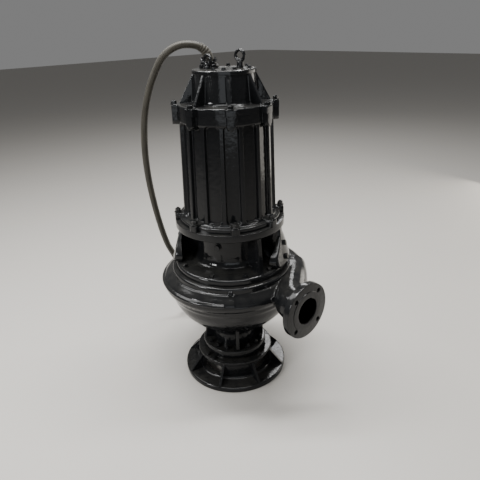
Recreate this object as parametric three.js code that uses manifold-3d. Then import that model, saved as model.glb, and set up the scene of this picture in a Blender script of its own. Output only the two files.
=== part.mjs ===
// Submersible sewage pump on its ring stand, with a dry-pit style motor frame above a volute.
// Millimetres, +Z up. The origin is on the floor under the pump's own bounding box, and +X
// points along the discharge branch. Angles are degrees from +X, anticlockwise from above.
import * as THREE from "three";
import { mergeVertices } from "three/addons/utils/BufferGeometryUtils.js";
import Module from "manifold-3d";

const wasm = await Module();
wasm.setup();

// Clearance between neighbouring solids, and the facets of large and small rounds.
const SEAT_GAP = 0.3;
const ROUND_SIDES = 48;
const SMALL_SIDES = 24;

// Ring stand.
const STAND = {
  flangeRadius: 215,
  flangeThickness: 20,
  openingRadius: 130,
  wallOuter: 155,
  wallInner: 138,
  ringRadius: 157,
  ringUnderside: 82,
  top: 95,
  seatRadius: 112,
  gussetCount: 8,
  gussetStart: -15,
  gussetThickness: 10,
  gussetFoot: 208,
  windowStart: 7.5,
  windowCount: 4,
  windowWidth: 84,
  windowBottom: 32,
  windowTop: 76,
};

// Suction ring and suction neck below the volute.
const SUCTION = {
  spigotRadius: 122,
  spigotTop: 108,
  flangeRadius: 132,
  flangeTop: 134,
  boreRadius: 62,
  neckRadius: 88,
  ribReach: 123,
  ribThickness: 14,
  ribStart: -36,
  ribCount: 4,
  top: 232,
};

// Volute casing: dish, scroll, discharge branch and flange.
const VOLUTE = {
  axisHeight: 426,
  rimRadius: 238,
  rimBottom: 470,
  rimTop: 491,
  coverOpening: 190,
  wall: 12,
  scrollCentre: 205,
  scrollStart: -25,
  scrollSweep: 290,
  scrollStep: 10,
  scrollReachMin: 270,
  scrollReachMax: 306,
  scrollInner: 165,
  scrollHeightMin: 43,
  scrollHeightMax: 62,
  growthPower: 1.3,
  branchSteps: 6,
  branchStraight: 52,
  branchRadius: 64,
  boreRadius: 50,
  chamberBottom: 392,
};
const FLANGE = {
  face: 400,
  raisedFace: 2,
  raisedRadius: 74,
  thickness: 24,
  radius: 105,
  holeCircle: 85,
  holeRadius: 9,
  holeStart: 45,
  holeCount: 4,
};

// Impeller seen through the discharge and the suction eye.
const IMPELLER = {
  radius: 150,
  shroudBottom: 440,
  shroudTop: 452,
  hubRadius: 38,
  hubBottom: 400,
  vaneCount: 3,
  vaneBottom: 398,
  vaneThickness: 9,
  vaneSweep: 110,
  nutRadius: 24,
  nutBottom: 388,
  nutSides: 6,
};

// Lantern: lower flange, oil chamber, webs, side plates and the adapter flange under the motor.
const LANTERN = {
  spigotRadius: 188,
  spigotBottom: 478,
  flangeRadius: 222,
  flangeTop: 516,
  chamberRadius: 134,
  foot: [
    [190, 516],
    [168, 521],
    [150, 534],
    [139, 552],
    [134, 572],
  ],
  flangeUnderside: 661,
  adapterRadius: 212,
  top: 689,
  webAngles: [-10, 35, 170, 215],
  webThickness: 15,
  webTopReach: 200,
  webFootReach: 214,
  plateInset: 9,
  plateHalfOutline: [
    [98, 514],
    [105, 526],
    [108, 534],
    [108, 547],
    [100, 560],
    [88, 571],
    [68, 586],
    [51, 601],
    [29, 620],
    [26, 640],
    [26, 663],
  ],
  plateFoot: [
    [229, 516.3],
    [234, 522],
    [205, 622],
  ],
  plateWebs: { right: 1, left: 3 },
};

// Motor frame with its fins, lugs and end bands.
const MOTOR = {
  bottom: 689,
  flangeTop: 706,
  flangeRadius: 196,
  lowerLugReach: 212,
  lowerLugTop: 716,
  lowerLugWidth: 38,
  finRadiusBottom: 179,
  finRadiusTop: 172,
  panelDepth: 13,
  finCount: 16,
  finWidth: 11,
  ledgeHeight: 12,
  bandBottom: 1069,
  bandRadius: 174,
  top: 1100,
  lugReach: 194,
  lugWidth: 34,
  lugBottom: 1050,
  lugCount: 8,
  lugStart: -36,
};

// Top cover, lid and what stands on the lid.
const COVER = {
  flangeTop: 1125,
  drumRadiusFoot: 112,
  drumRadiusTop: 106,
  top: 1226,
  ribThickness: 9,
  ribHeadReach: 112,
  ribFootReach: 162,
};
const LID = { radius: 114, top: 1240, groove: 3 };
const GLAND = {
  radius: 74,
  angle: 186,
  flangeRadius: 35,
  flangeTop: 1252,
  followerRadius: 30,
  followerTop: 1262,
};

// Rubber boot that turns the cable over from the gland towards its route.
const BOOT = {
  heading: 246.5,
  straight: 3,
  bendRadius: 50,
  bend: 67,
  steps: 6,
  footRadius: 19,
  headRadius: 15,
  lead: 12,
  sides: 16,
};

// Lifting eyes on the lid and the oil plug on the oil chamber.
const EYE = {
  radius: 60,
  angles: { left: 231, right: 51 },
  facing: { left: 0, right: 55 },
  collarRadius: 12,
  collarTop: 1249,
  ringRadius: 17.5,
  barRadius: 5.5,
};
const OIL_PLUG = { angle: -63, height: 607, headRadius: 12, headOut: 12, sides: 6 };

// Power cable: route from the boot over to the side and down behind, then a coil on the floor.
const CABLE = {
  diameter: 26,
  sides: 10,
  route: [
    [-101, -68, 1321],
    [-119, -95, 1320],
    [-143, -121, 1306],
    [-172, -140, 1279],
    [-201, -150, 1238],
    [-226, -161, 1190],
    [-249, -169, 1133],
    [-270, -174, 1066],
    [-286, -175, 988],
    [-302, -169, 899],
    [-318, -155, 801],
    [-334, -134, 705],
    [-349, -109, 610],
    [-364, -82, 525],
    [-378, -51, 447],
    [-388, -16, 381],
    [-401, 15, 320],
    [-416, 30, 259],
    [-427, 29, 200],
    [-429, 25, 145],
    [-434, 32, 96],
    [-450, 53, 54],
    [-473, 86, 26],
    [-496, 124, 15],
    [-519, 160, 13],
  ],
};
const COIL = { middleRadius: 156, across: 3, layers: 2 };

const MATERIALS = {
  enamel: new THREE.MeshStandardMaterial({ color: 0x0b0c0d, roughness: 0.18, metalness: 0.1 }),
  cable: new THREE.MeshStandardMaterial({ color: 0x5a564c, roughness: 0.75, metalness: 0 }),
  iron: new THREE.MeshStandardMaterial({ color: 0x1c1a18, roughness: 0.5, metalness: 0.4 }),
};

const radians = THREE.MathUtils.degToRad;

// A point at a radius and an angle, as [x, y].
function polar(radius, degrees) {
  return [radius * Math.cos(radians(degrees)), radius * Math.sin(radians(degrees))];
}

// A closed geometry as a solid with its faces pointing out.
function solidOf(geometry) {
  const bare = geometry.clone();
  bare.deleteAttribute("normal");
  bare.deleteAttribute("uv");
  const merged = mergeVertices(bare, 1e-3);
  const vertProperties = new Float32Array(merged.attributes.position.array);
  const triVerts = new Uint32Array(merged.index.array);
  const make = () => new wasm.Manifold(new wasm.Mesh({ numProp: 3, vertProperties, triVerts }));
  const solid = make();
  if (solid.volume() > 0) {
    return solid;
  }
  for (let i = 0; i < triVerts.length; i += 3) {
    [triVerts[i + 1], triVerts[i + 2]] = [triVerts[i + 2], triVerts[i + 1]];
  }
  return make();
}

// A solid as a three.js geometry with normals.
function geometryOf(solid) {
  const mesh = solid.getMesh();
  const geometry = new THREE.BufferGeometry();
  const positions = new THREE.BufferAttribute(new Float32Array(mesh.vertProperties), 3);
  geometry.setAttribute("position", positions);
  geometry.setIndex(new THREE.BufferAttribute(new Uint32Array(mesh.triVerts), 1));
  geometry.computeVertexNormals();
  return geometry;
}

// A solid turned out of a profile of [radius, height] points about the Z axis.
function turned(profile, sides = ROUND_SIDES) {
  const points = profile.map(([r, z]) => new THREE.Vector2(r, z));
  return solidOf(new THREE.LatheGeometry(points, sides).rotateX(Math.PI / 2));
}

// A plain round between two heights.
function disc(radius, bottom, top, sides = ROUND_SIDES) {
  return turned([[0, bottom], [radius, bottom], [radius, top], [0, top]], sides);
}

// A box from its low and high corners.
function block(low, high) {
  const size = high.map((v, i) => v - low[i]);
  const middle = high.map((v, i) => (v + low[i]) / 2);
  return solidOf(new THREE.BoxGeometry(...size).translate(...middle));
}

// A plate whose outline lies in the radial plane, from [radius, height] points.
function radialPlate(outline, thickness) {
  const shape = new THREE.Shape(outline.map(([r, z]) => new THREE.Vector2(r, z)));
  const geometry = new THREE.ExtrudeGeometry(shape, { depth: thickness, bevelEnabled: false });
  return solidOf(geometry.translate(0, 0, -thickness / 2).rotateX(Math.PI / 2));
}

// A prism that points outwards, from [aside, height] points.
function outwardPrism(outline, inner, outer) {
  const shape = new THREE.Shape(outline.map(([side, z]) => new THREE.Vector2(side, z)));
  const geometry = new THREE.ExtrudeGeometry(shape, { depth: outer - inner, bevelEnabled: false });
  geometry.rotateX(Math.PI / 2);
  geometry.rotateZ(Math.PI / 2);
  return solidOf(geometry.translate(inner, 0, 0));
}

// A lug that stands out of a band: straight sides, a flat top and a half-round foot.
function lug(width, bottom, top, inner, outer) {
  const half = width / 2;
  const shape = new THREE.Shape();
  shape.moveTo(half, top);
  shape.lineTo(-half, top);
  shape.lineTo(-half, bottom + half);
  shape.absarc(0, bottom + half, half, Math.PI, 2 * Math.PI, false);
  const depth = outer - inner;
  const geometry = new THREE.ExtrudeGeometry(shape, { depth, bevelEnabled: false, curveSegments: 8 });
  geometry.rotateX(Math.PI / 2);
  geometry.rotateZ(Math.PI / 2);
  return solidOf(geometry.translate(inner, 0, 0));
}

// Copies of a solid at equal angles about the Z axis.
function around(solid, count, start) {
  const copies = [];
  for (let i = 0; i < count; i += 1) {
    copies.push(solid.rotate([0, 0, start + (i * 360) / count]));
  }
  return copies;
}

// Several solids joined into the first.
function joined(first, others) {
  return others.reduce((sum, solid) => sum.add(solid), first);
}

// Several solids cut out of the first.
function cut(first, others) {
  return others.reduce((rest, solid) => rest.subtract(solid), first);
}

// A closed skin over rings of points that all have the same count, with flat ends.
function lofted(rings) {
  const count = rings[0].length;
  const positions = [];
  const index = [];
  rings.forEach((ring) => ring.forEach((point) => positions.push(...point)));
  for (let i = 0; i + 1 < rings.length; i += 1) {
    for (let j = 0; j < count; j += 1) {
      const a = i * count + j;
      const b = i * count + ((j + 1) % count);
      index.push(a, b, a + count, b, b + count, a + count);
    }
  }
  const last = (rings.length - 1) * count;
  for (let j = 1; j + 1 < count; j += 1) {
    index.push(0, j + 1, j);
    index.push(last, last + j, last + j + 1);
  }
  const geometry = new THREE.BufferGeometry();
  geometry.setAttribute("position", new THREE.Float32BufferAttribute(positions, 3));
  geometry.setIndex(index);
  return solidOf(geometry);
}

// Ring stand: base flange, wall with four windows, top ring and gussets.
function standSolid() {
  const s = STAND;
  const body = turned([
    [s.openingRadius, 0],
    [s.flangeRadius, 0],
    [s.flangeRadius, s.flangeThickness],
    [s.wallOuter, s.flangeThickness],
    [s.wallOuter, s.ringUnderside],
    [s.ringRadius, s.ringUnderside],
    [s.ringRadius, s.top],
    [s.seatRadius, s.top],
    [s.seatRadius, s.ringUnderside],
    [s.wallInner, s.ringUnderside],
    [s.wallInner, s.flangeThickness],
    [s.openingRadius, s.flangeThickness],
    [s.openingRadius, 0],
  ]);
  const gusset = radialPlate(
    [
      [s.wallOuter - 4, s.flangeThickness - 2],
      [s.gussetFoot, s.flangeThickness - 2],
      [s.gussetFoot, s.flangeThickness + 3],
      [s.ringRadius - 2, s.ringUnderside + 2],
      [s.wallOuter - 4, s.ringUnderside + 2],
    ],
    s.gussetThickness,
  );
  const half = s.windowWidth / 2;
  const window = block([s.wallInner - 30, -half, s.windowBottom], [s.wallOuter + 6, half, s.windowTop]);
  const walls = cut(body, around(window, s.windowCount, s.windowStart));
  return joined(walls, around(gusset, s.gussetCount, s.gussetStart));
}

// Suction ring that stands on the stand.
function suctionRingSolid() {
  const s = SUCTION;
  const bottom = STAND.top + SEAT_GAP;
  return turned([
    [s.boreRadius, bottom],
    [s.spigotRadius, bottom],
    [s.spigotRadius, s.spigotTop],
    [s.flangeRadius, s.spigotTop],
    [s.flangeRadius, s.flangeTop],
    [s.boreRadius, s.flangeTop],
    [s.boreRadius, bottom],
  ]);
}

// Suction neck with its four ribs.
function suctionNeckSolid() {
  const s = SUCTION;
  const bottom = s.flangeTop + SEAT_GAP;
  const top = s.top - SEAT_GAP;
  const neck = turned([
    [s.boreRadius, bottom],
    [s.neckRadius, bottom],
    [s.neckRadius, top - 26],
    [s.ribReach, top],
    [s.boreRadius, top],
    [s.boreRadius, bottom],
  ]);
  const outline = [
    [s.neckRadius - 4, bottom],
    [s.ribReach, bottom],
    [s.ribReach, top],
    [s.neckRadius - 4, top],
  ];
  return joined(neck, around(radialPlate(outline, s.ribThickness), s.ribCount, s.ribStart));
}

// One ring of the scroll: an ellipse in a vertical plane, centred at [x, y] and the volute's axis height.
function ellipseRing(centre, across, halfWidth, halfHeight, sides) {
  const ring = [];
  for (let i = 0; i < sides; i += 1) {
    const t = (i * 2 * Math.PI) / sides;
    const out = halfWidth * Math.cos(t);
    const up = halfHeight * Math.sin(t);
    ring.push([centre[0] + across[0] * out, centre[1] + across[1] * out, VOLUTE.axisHeight + up]);
  }
  return ring;
}

// Radius of the scroll's middle line, for its reach and its share of growth.
function scrollMiddle(reach, growth) {
  const centre = VOLUTE.scrollCentre;
  return THREE.MathUtils.lerp(centre, (reach + centre - 70) / 2 + 32, growth);
}

// The scroll and its discharge branch, grown or shrunk by an inset for the hollow inside, which opens
// inwards to the impeller's chamber.
function scrollSolid(inset, sides) {
  const v = VOLUTE;
  const rings = [];
  const turns = v.scrollSweep / v.scrollStep;
  for (let i = 0; i <= turns; i += 1) {
    const growth = (i / turns) ** v.growthPower;
    const reach = THREE.MathUtils.lerp(v.scrollReachMin, v.scrollReachMax, growth);
    const height = THREE.MathUtils.lerp(v.scrollHeightMin, v.scrollHeightMax, growth);
    const angle = v.scrollStart - i * v.scrollStep;
    const middle = inset > 0 ? (reach - inset + v.scrollInner) / 2 : scrollMiddle(reach, growth);
    const halfWidth = reach - inset - middle;
    rings.push(ellipseRing(polar(middle, angle), polar(1, angle), halfWidth, height - inset, sides));
  }
  const end = v.scrollStart - v.scrollSweep;
  const startWidth = v.scrollReachMax - scrollMiddle(v.scrollReachMax, 1);
  const from = new THREE.Vector2(...polar(v.scrollReachMax - startWidth, end));
  const heading = new THREE.Vector2(...polar(1, end - 90));
  const face = FLANGE.face - FLANGE.raisedFace;
  const bendEnd = face - v.branchStraight;
  const branch = new THREE.CubicBezierCurve(
    from,
    from.clone().addScaledVector(heading, 110),
    new THREE.Vector2(bendEnd - 60, 0),
    new THREE.Vector2(bendEnd, 0),
  );
  const exitRadius = inset > 0 ? v.boreRadius : v.branchRadius;
  for (let i = 1; i <= v.branchSteps; i += 1) {
    const t = i / v.branchSteps;
    const at = branch.getPoint(t);
    const along = branch.getTangent(t);
    const blend = THREE.MathUtils.smoothstep(t, 0, 1);
    const width = THREE.MathUtils.lerp(startWidth - inset, exitRadius, blend);
    const height = THREE.MathUtils.lerp(v.scrollHeightMax - inset, exitRadius, blend);
    rings.push(ellipseRing([at.x, at.y], [-along.y, along.x], width, height, sides));
  }
  const out = inset > 0 ? FLANGE.face + 10 : face - 1;
  rings.push(ellipseRing([out, 0], [0, 1], exitRadius, exitRadius, sides));
  return lofted(rings);
}

// Discharge flange along +X, with its raised face, before its bore is cut.
function dischargeFlangeSolid() {
  const f = FLANGE;
  const back = f.face - f.raisedFace - f.thickness;
  const plate = f.face - f.raisedFace;
  const round = turned(
    [[0, back], [f.radius, back], [f.radius, plate], [f.raisedRadius, plate], [f.raisedRadius, f.face], [0, f.face]],
    ROUND_SIDES,
  );
  const hole = disc(f.holeRadius, back - 10, f.face + 10, 12);
  const holes = [];
  for (let i = 0; i < f.holeCount; i += 1) {
    const [x, y] = polar(f.holeCircle, f.holeStart + (i * 360) / f.holeCount);
    holes.push(hole.translate([x, y, 0]));
  }
  return cut(round, holes).rotate([0, 90, 0]).translate([0, 0, VOLUTE.axisHeight]);
}

// Volute casing: dish, scroll, branch and flange in one casting, hollow inside.
function voluteSolid() {
  const v = VOLUTE;
  const dish = turned([
    [0, SUCTION.top],
    [126, SUCTION.top],
    [158, 250],
    [192, 276],
    [220, 308],
    [240, 344],
    [251, 376],
    [257, 386],
    [257, 400],
    [236, 455],
    [229, 462],
    [v.rimRadius, v.rimBottom],
    [v.rimRadius, v.rimTop],
    [0, v.rimTop],
  ]);
  const body = joined(dish, [scrollSolid(0, 20), dischargeFlangeSolid()]);
  const cover = disc(v.coverOpening, v.chamberBottom, v.rimTop + 10);
  const eye = disc(SUCTION.boreRadius, SUCTION.top - 10, v.chamberBottom + 10);
  return cut(body, [cover, eye, scrollSolid(v.wall, 16)]);
}

// Impeller: back shroud, hub and three swept vanes.
function impellerSolid() {
  const m = IMPELLER;
  const top = LANTERN.spigotBottom - SEAT_GAP;
  const body = turned([
    [0, m.hubBottom],
    [m.hubRadius, m.hubBottom],
    [m.hubRadius, m.shroudBottom],
    [m.radius, m.shroudBottom],
    [m.radius, m.shroudTop],
    [m.hubRadius, m.shroudTop],
    [m.hubRadius, top],
    [0, top],
  ]);
  const steps = 8;
  const outer = [];
  const inner = [];
  for (let i = 0; i <= steps; i += 1) {
    const share = i / steps;
    const radius = THREE.MathUtils.lerp(m.hubRadius - 6, m.radius - 6, share);
    const angle = -m.vaneSweep * share;
    const spread = THREE.MathUtils.radToDeg(m.vaneThickness / 2 / radius);
    outer.push(new THREE.Vector2(...polar(radius, angle + spread)));
    inner.unshift(new THREE.Vector2(...polar(radius, angle - spread)));
  }
  const depth = m.shroudBottom + 4 - m.vaneBottom;
  const vane = new THREE.ExtrudeGeometry(new THREE.Shape([...outer, ...inner]), { depth, bevelEnabled: false });
  return joined(body, around(solidOf(vane.translate(0, 0, m.vaneBottom)), m.vaneCount, 0));
}

// Impeller nut: a hexagon under the hub.
function impellerNutSolid() {
  const m = IMPELLER;
  return disc(m.nutRadius, m.nutBottom, m.hubBottom - SEAT_GAP, m.nutSides);
}

// How far a web reaches at a height.
function webReach(z) {
  const n = LANTERN;
  return THREE.MathUtils.mapLinear(z, n.flangeTop, n.flangeUnderside, n.webFootReach, n.webTopReach);
}

// A web that reaches into both flanges, with its outer edge inside the webs' reach by an inset.
function webSolid(inset) {
  const n = LANTERN;
  const root = n.chamberRadius - 6;
  const low = n.flangeTop - 4;
  const high = n.flangeUnderside + 4;
  const outline = [
    [root, low],
    [webReach(low) - inset, low],
    [webReach(high) - inset, high],
    [root, high],
  ];
  return radialPlate(outline, n.webThickness);
}

// Lantern: lower flange with spigot, oil chamber, four webs and adapter flange.
function lanternSolid() {
  const n = LANTERN;
  const bottom = VOLUTE.rimTop + SEAT_GAP;
  const body = turned([
    [0, n.spigotBottom],
    [n.spigotRadius, n.spigotBottom],
    [n.spigotRadius, bottom],
    [n.flangeRadius, bottom],
    [n.flangeRadius, n.flangeTop - 5],
    [n.flangeRadius - 6, n.flangeTop],
    ...n.foot,
    [n.chamberRadius, n.flangeUnderside],
    [n.adapterRadius, n.flangeUnderside],
    [n.adapterRadius, n.top - SEAT_GAP],
    [0, n.top - SEAT_GAP],
  ]);
  const fullWeb = webSolid(0);
  const shortWeb = webSolid(n.plateInset + 3 * SEAT_GAP);
  const plated = Object.values(n.plateWebs);
  const webs = n.webAngles.map((angle, i) => {
    const web = plated.includes(i) ? shortWeb : fullWeb;
    return web.rotate([0, 0, angle]);
  });
  return joined(body, webs);
}

// Side plate on the outer edge of a web: curved about the shaft, and wider and flared outwards to its foot.
function sidePlateSolid(web) {
  const n = LANTERN;
  const low = n.flangeTop + SEAT_GAP;
  const high = n.flangeUnderside - SEAT_GAP;
  const ring = cut(
    turned([
      [0, low],
      ...n.plateFoot,
      [webReach(high), high],
      [0, high],
    ]),
    [
      turned([
        [0, low - 1],
        [webReach(low - 1) - n.plateInset, low - 1],
        [webReach(high + 1) - n.plateInset, high + 1],
        [0, high + 1],
      ]),
    ],
  );
  const left = n.plateHalfOutline.map(([half, z]) => [-half, z]).reverse();
  const block = outwardPrism([...n.plateHalfOutline, ...left], 60, 300);
  return ring.intersect(block).rotate([0, 0, n.webAngles[web]]);
}

// Oil plug: hexagon head on a collar, against the oil chamber.
function oilPlugSolid() {
  const p = OIL_PLUG;
  const collar = disc(p.headRadius + 3, 0, 4, SMALL_SIDES);
  const head = disc(p.headRadius, 0, p.headOut, p.sides);
  const out = LANTERN.chamberRadius + SEAT_GAP;
  return collar.add(head).rotate([0, 90, 0]).translate([out, 0, p.height]).rotate([0, 0, p.angle]);
}

// The barrel's outline: fins at equal angles with sunk panels between them.
function barrelOutline(radius) {
  const m = MOTOR;
  const points = [];
  const pitch = 360 / m.finCount;
  for (let i = 0; i < m.finCount; i += 1) {
    const middle = m.lugStart + pitch / 2 + i * pitch;
    const half = THREE.MathUtils.radToDeg(m.finWidth / 2 / radius);
    const floor = radius - m.panelDepth;
    points.push(polar(floor, middle - half - 1.6));
    points.push(polar(radius, middle - half));
    points.push(polar(radius, middle + half));
    points.push(polar(floor, middle + half + 1.6));
    points.push(polar(floor, middle + pitch * 0.36));
    points.push(polar(floor, middle + pitch * 0.64));
  }
  return points;
}

// Motor frame: barrel with fins between its lower flange and its top band, with lugs on both.
function motorFrameSolid() {
  const m = MOTOR;
  const rings = [
    [m.finRadiusBottom, m.flangeTop - 4],
    [m.finRadiusTop, m.bandBottom + 4],
  ].map(([radius, z]) => barrelOutline(radius).map(([x, y]) => [x, y, z]));
  const flange = turned([
    [0, m.bottom],
    [m.flangeRadius, m.bottom],
    [m.flangeRadius, m.flangeTop],
    [m.finRadiusBottom, m.flangeTop + m.ledgeHeight],
    [0, m.flangeTop + m.ledgeHeight],
  ]);
  const top = m.top - SEAT_GAP;
  const band = disc(m.bandRadius, m.bandBottom, top);
  const upper = lug(m.lugWidth, m.lugBottom, top, m.bandRadius - 12, m.lugReach);
  const lowerShape = block(
    [m.flangeRadius - 10, -m.lowerLugWidth / 2, m.bottom],
    [m.lowerLugReach, m.lowerLugWidth / 2, m.lowerLugTop],
  );
  const lugs = [...around(upper, m.lugCount, m.lugStart), ...around(lowerShape, m.lugCount, m.lugStart)];
  return joined(flange, [lofted(rings), band, ...lugs]);
}

// Top cover: flange with lugs, drum and eight ribs.
function topCoverSolid() {
  const c = COVER;
  const m = MOTOR;
  const body = turned([
    [0, m.top],
    [m.bandRadius, m.top],
    [m.bandRadius, c.flangeTop - 4],
    [m.bandRadius - 4, c.flangeTop],
    [c.drumRadiusFoot + 10, c.flangeTop],
    [c.drumRadiusFoot, c.flangeTop + 10],
    [c.drumRadiusTop, c.top - 8],
    [c.drumRadiusTop + 4, c.top],
    [0, c.top],
  ]);
  const rib = radialPlate(
    [
      [c.drumRadiusTop - 10, c.flangeTop - 4],
      [c.ribFootReach, c.flangeTop - 4],
      [c.ribFootReach, c.flangeTop + 6],
      [c.ribHeadReach, c.top],
      [c.drumRadiusTop - 10, c.top],
    ],
    c.ribThickness,
  );
  const half = m.lugWidth / 2;
  const ear = block([m.bandRadius - 14, -half, m.top], [m.lugReach, half, c.flangeTop]);
  const around8 = (solid) => around(solid, m.lugCount, m.lugStart);
  return joined(body, [...around8(rib), ...around8(ear)]);
}

// Lid: a plain plate with a turned edge.
function lidSolid() {
  const bottom = COVER.top + SEAT_GAP;
  return turned([
    [0, bottom],
    [LID.radius, bottom],
    [LID.radius, LID.top - LID.groove],
    [LID.radius - LID.groove, LID.top],
    [0, LID.top],
  ]);
}

// Gland flange bolted on the lid.
function glandFlangeSolid() {
  const g = GLAND;
  const body = disc(g.flangeRadius, LID.top + SEAT_GAP, g.flangeTop, SMALL_SIDES);
  return body.translate([...polar(g.radius, g.angle), 0]);
}

// Gland follower that presses the seal on the cable.
function glandFollowerSolid() {
  const g = GLAND;
  const body = disc(g.followerRadius, g.flangeTop + SEAT_GAP, g.followerTop, SMALL_SIDES);
  return body.translate([...polar(g.radius, g.angle), 0]);
}

// The boot's middle line at a share of its bend, as its place and its direction.
function bootFrame(share) {
  const turn = radians(BOOT.bend * share);
  const out = BOOT.bendRadius * (1 - Math.cos(turn));
  const up = BOOT.straight + BOOT.bendRadius * Math.sin(turn);
  const [gx, gy] = polar(GLAND.radius, GLAND.angle);
  const [hx, hy] = polar(1, BOOT.heading);
  const place = new THREE.Vector3(gx + hx * out, gy + hy * out, GLAND.followerTop + SEAT_GAP + up);
  const along = new THREE.Vector3(hx * Math.sin(turn), hy * Math.sin(turn), Math.cos(turn));
  return { place, along };
}

// Boot: a tapered round carried along its bend.
function bootSolid() {
  const [hx, hy] = polar(1, BOOT.heading);
  const side = new THREE.Vector3(-hy, hx, 0);
  const rings = [];
  const ringAt = (place, along, radius) => {
    const up = new THREE.Vector3().crossVectors(along, side);
    const ring = [];
    for (let i = 0; i < BOOT.sides; i += 1) {
      const [a, b] = polar(radius, (i * 360) / BOOT.sides);
      const point = place.clone().addScaledVector(side, a).addScaledVector(up, b);
      ring.push([point.x, point.y, point.z]);
    }
    return ring;
  };
  const foot = bootFrame(0);
  foot.place.z -= BOOT.straight;
  rings.push(ringAt(foot.place, foot.along, BOOT.footRadius));
  for (let i = 0; i <= BOOT.steps; i += 1) {
    const { place, along } = bootFrame(i / BOOT.steps);
    const radius = THREE.MathUtils.lerp(BOOT.footRadius, BOOT.headRadius, i / BOOT.steps);
    rings.push(ringAt(place, along, radius));
  }
  return lofted(rings);
}

// Lifting eye: collar and ring.
function eyeSolid(angle, facing) {
  const e = EYE;
  const bottom = LID.top + SEAT_GAP;
  const collar = disc(e.collarRadius, bottom, e.collarTop, 16);
  const centre = e.collarTop + e.ringRadius + e.barRadius - 4;
  const torus = new THREE.TorusGeometry(e.ringRadius, e.barRadius, 8, 20).rotateX(Math.PI / 2);
  const ring = solidOf(torus).rotate([0, 0, facing]).translate([0, 0, centre]);
  return collar.add(ring).translate([...polar(e.radius, angle), 0]);
}

// The cable's free stretch as a tube, from the boot's head along its route.
function cableGeometry() {
  const head = bootFrame(1);
  const start = head.place.clone().addScaledVector(head.along, SEAT_GAP);
  const route = CABLE.route.map((p) => new THREE.Vector3(...p));
  const lead = start.clone().addScaledVector(head.along, BOOT.lead);
  const curve = new THREE.CatmullRomCurve3([start, lead, ...route]);
  const radius = CABLE.diameter / 2;
  const section = new THREE.Shape();
  for (let i = 0; i < CABLE.sides; i += 1) {
    const [x, y] = polar(radius, (i * 360) / CABLE.sides);
    if (i === 0) {
      section.moveTo(x, y);
    } else {
      section.lineTo(x, y);
    }
  }
  const steps = Math.round(curve.getLength() / (2.5 * CABLE.diameter));
  return new THREE.ExtrudeGeometry(section, { steps, extrudePath: curve, bevelEnabled: false });
}

// The coil of spare cable on the floor, as one ring beside the end of the free stretch.
function coilGeometry() {
  const halfWidth = (COIL.across * CABLE.diameter) / 2;
  const height = COIL.layers * CABLE.diameter;
  const profile = [
    [COIL.middleRadius - halfWidth, 0],
    [COIL.middleRadius + halfWidth, 0],
    [COIL.middleRadius + halfWidth, height],
    [COIL.middleRadius - halfWidth, height],
    [COIL.middleRadius - halfWidth, 0],
  ].map(([r, z]) => new THREE.Vector2(r, z));
  return new THREE.LatheGeometry(profile, ROUND_SIDES).rotateX(Math.PI / 2);
}

// Where the coil's centre lies, so that the route's last stretch runs beside it.
function coilCentre() {
  const [a, b] = CABLE.route.slice(-2).map((p) => new THREE.Vector2(p[0], p[1]));
  const along = b.clone().sub(a).normalize();
  const side = new THREE.Vector2(along.y, -along.x);
  const reach = COIL.middleRadius + ((COIL.across + 1) * CABLE.diameter) / 2 + SEAT_GAP;
  return b.clone().addScaledVector(side, reach);
}

const pump = new THREE.Group();
const assembly = new THREE.Group();
pump.add(assembly);

function addPiece(name, geometry, material, group = assembly) {
  const mesh = new THREE.Mesh(geometry, material);
  mesh.name = name;
  group.add(mesh);
  return mesh;
}

const { enamel, cable, iron } = MATERIALS;
addPiece("ring_stand", geometryOf(standSolid()), enamel);
addPiece("suction_ring", geometryOf(suctionRingSolid()), enamel);
addPiece("suction_neck", geometryOf(suctionNeckSolid()), enamel);
addPiece("volute_casing", geometryOf(voluteSolid()), enamel);
addPiece("impeller", geometryOf(impellerSolid()), iron);
addPiece("impeller_nut", geometryOf(impellerNutSolid()), iron);
addPiece("lantern", geometryOf(lanternSolid()), enamel);
addPiece("side_plate_left", geometryOf(sidePlateSolid(LANTERN.plateWebs.left)), enamel);
addPiece("side_plate_right", geometryOf(sidePlateSolid(LANTERN.plateWebs.right)), enamel);
addPiece("oil_plug", geometryOf(oilPlugSolid()), enamel);
addPiece("motor_frame", geometryOf(motorFrameSolid()), enamel);
addPiece("top_cover", geometryOf(topCoverSolid()), enamel);
addPiece("lid", geometryOf(lidSolid()), enamel);
addPiece("gland_flange", geometryOf(glandFlangeSolid()), enamel);
addPiece("gland_follower", geometryOf(glandFollowerSolid()), enamel);
addPiece("cable_boot", geometryOf(bootSolid()), cable);
addPiece("lifting_eye_left", geometryOf(eyeSolid(EYE.angles.left, EYE.facing.left)), enamel);
addPiece("lifting_eye_right", geometryOf(eyeSolid(EYE.angles.right, EYE.facing.right)), enamel);

// The origin is under the middle of the pump's own box, so the assembly shifts by that middle.
const box = new THREE.Box3().setFromObject(assembly);
const middle = box.getCenter(new THREE.Vector3());
addPiece("power_cable", cableGeometry(), cable);
const coil = addPiece("cable_coil", coilGeometry(), cable);
const coilAt = coilCentre();
coil.position.set(coilAt.x, coilAt.y, 0);
assembly.position.set(-middle.x, -middle.y, 0);

export default pump;
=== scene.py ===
"""Submersible sewage pump in thick black enamel on its ring stand, with its free power cable.

Lengths are in metres and angles in degrees. Shapes are worked out about the shaft, with +X along the
discharge branch and angles anticlockwise from above, and move to the shaft's place as they become pieces.
"""
import logging
import math
from dataclasses import dataclass
from enum import Enum
from functools import cache
from typing import Iterable, Sequence

import bpy
import numpy as np
from mathutils import Matrix, Vector


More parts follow.
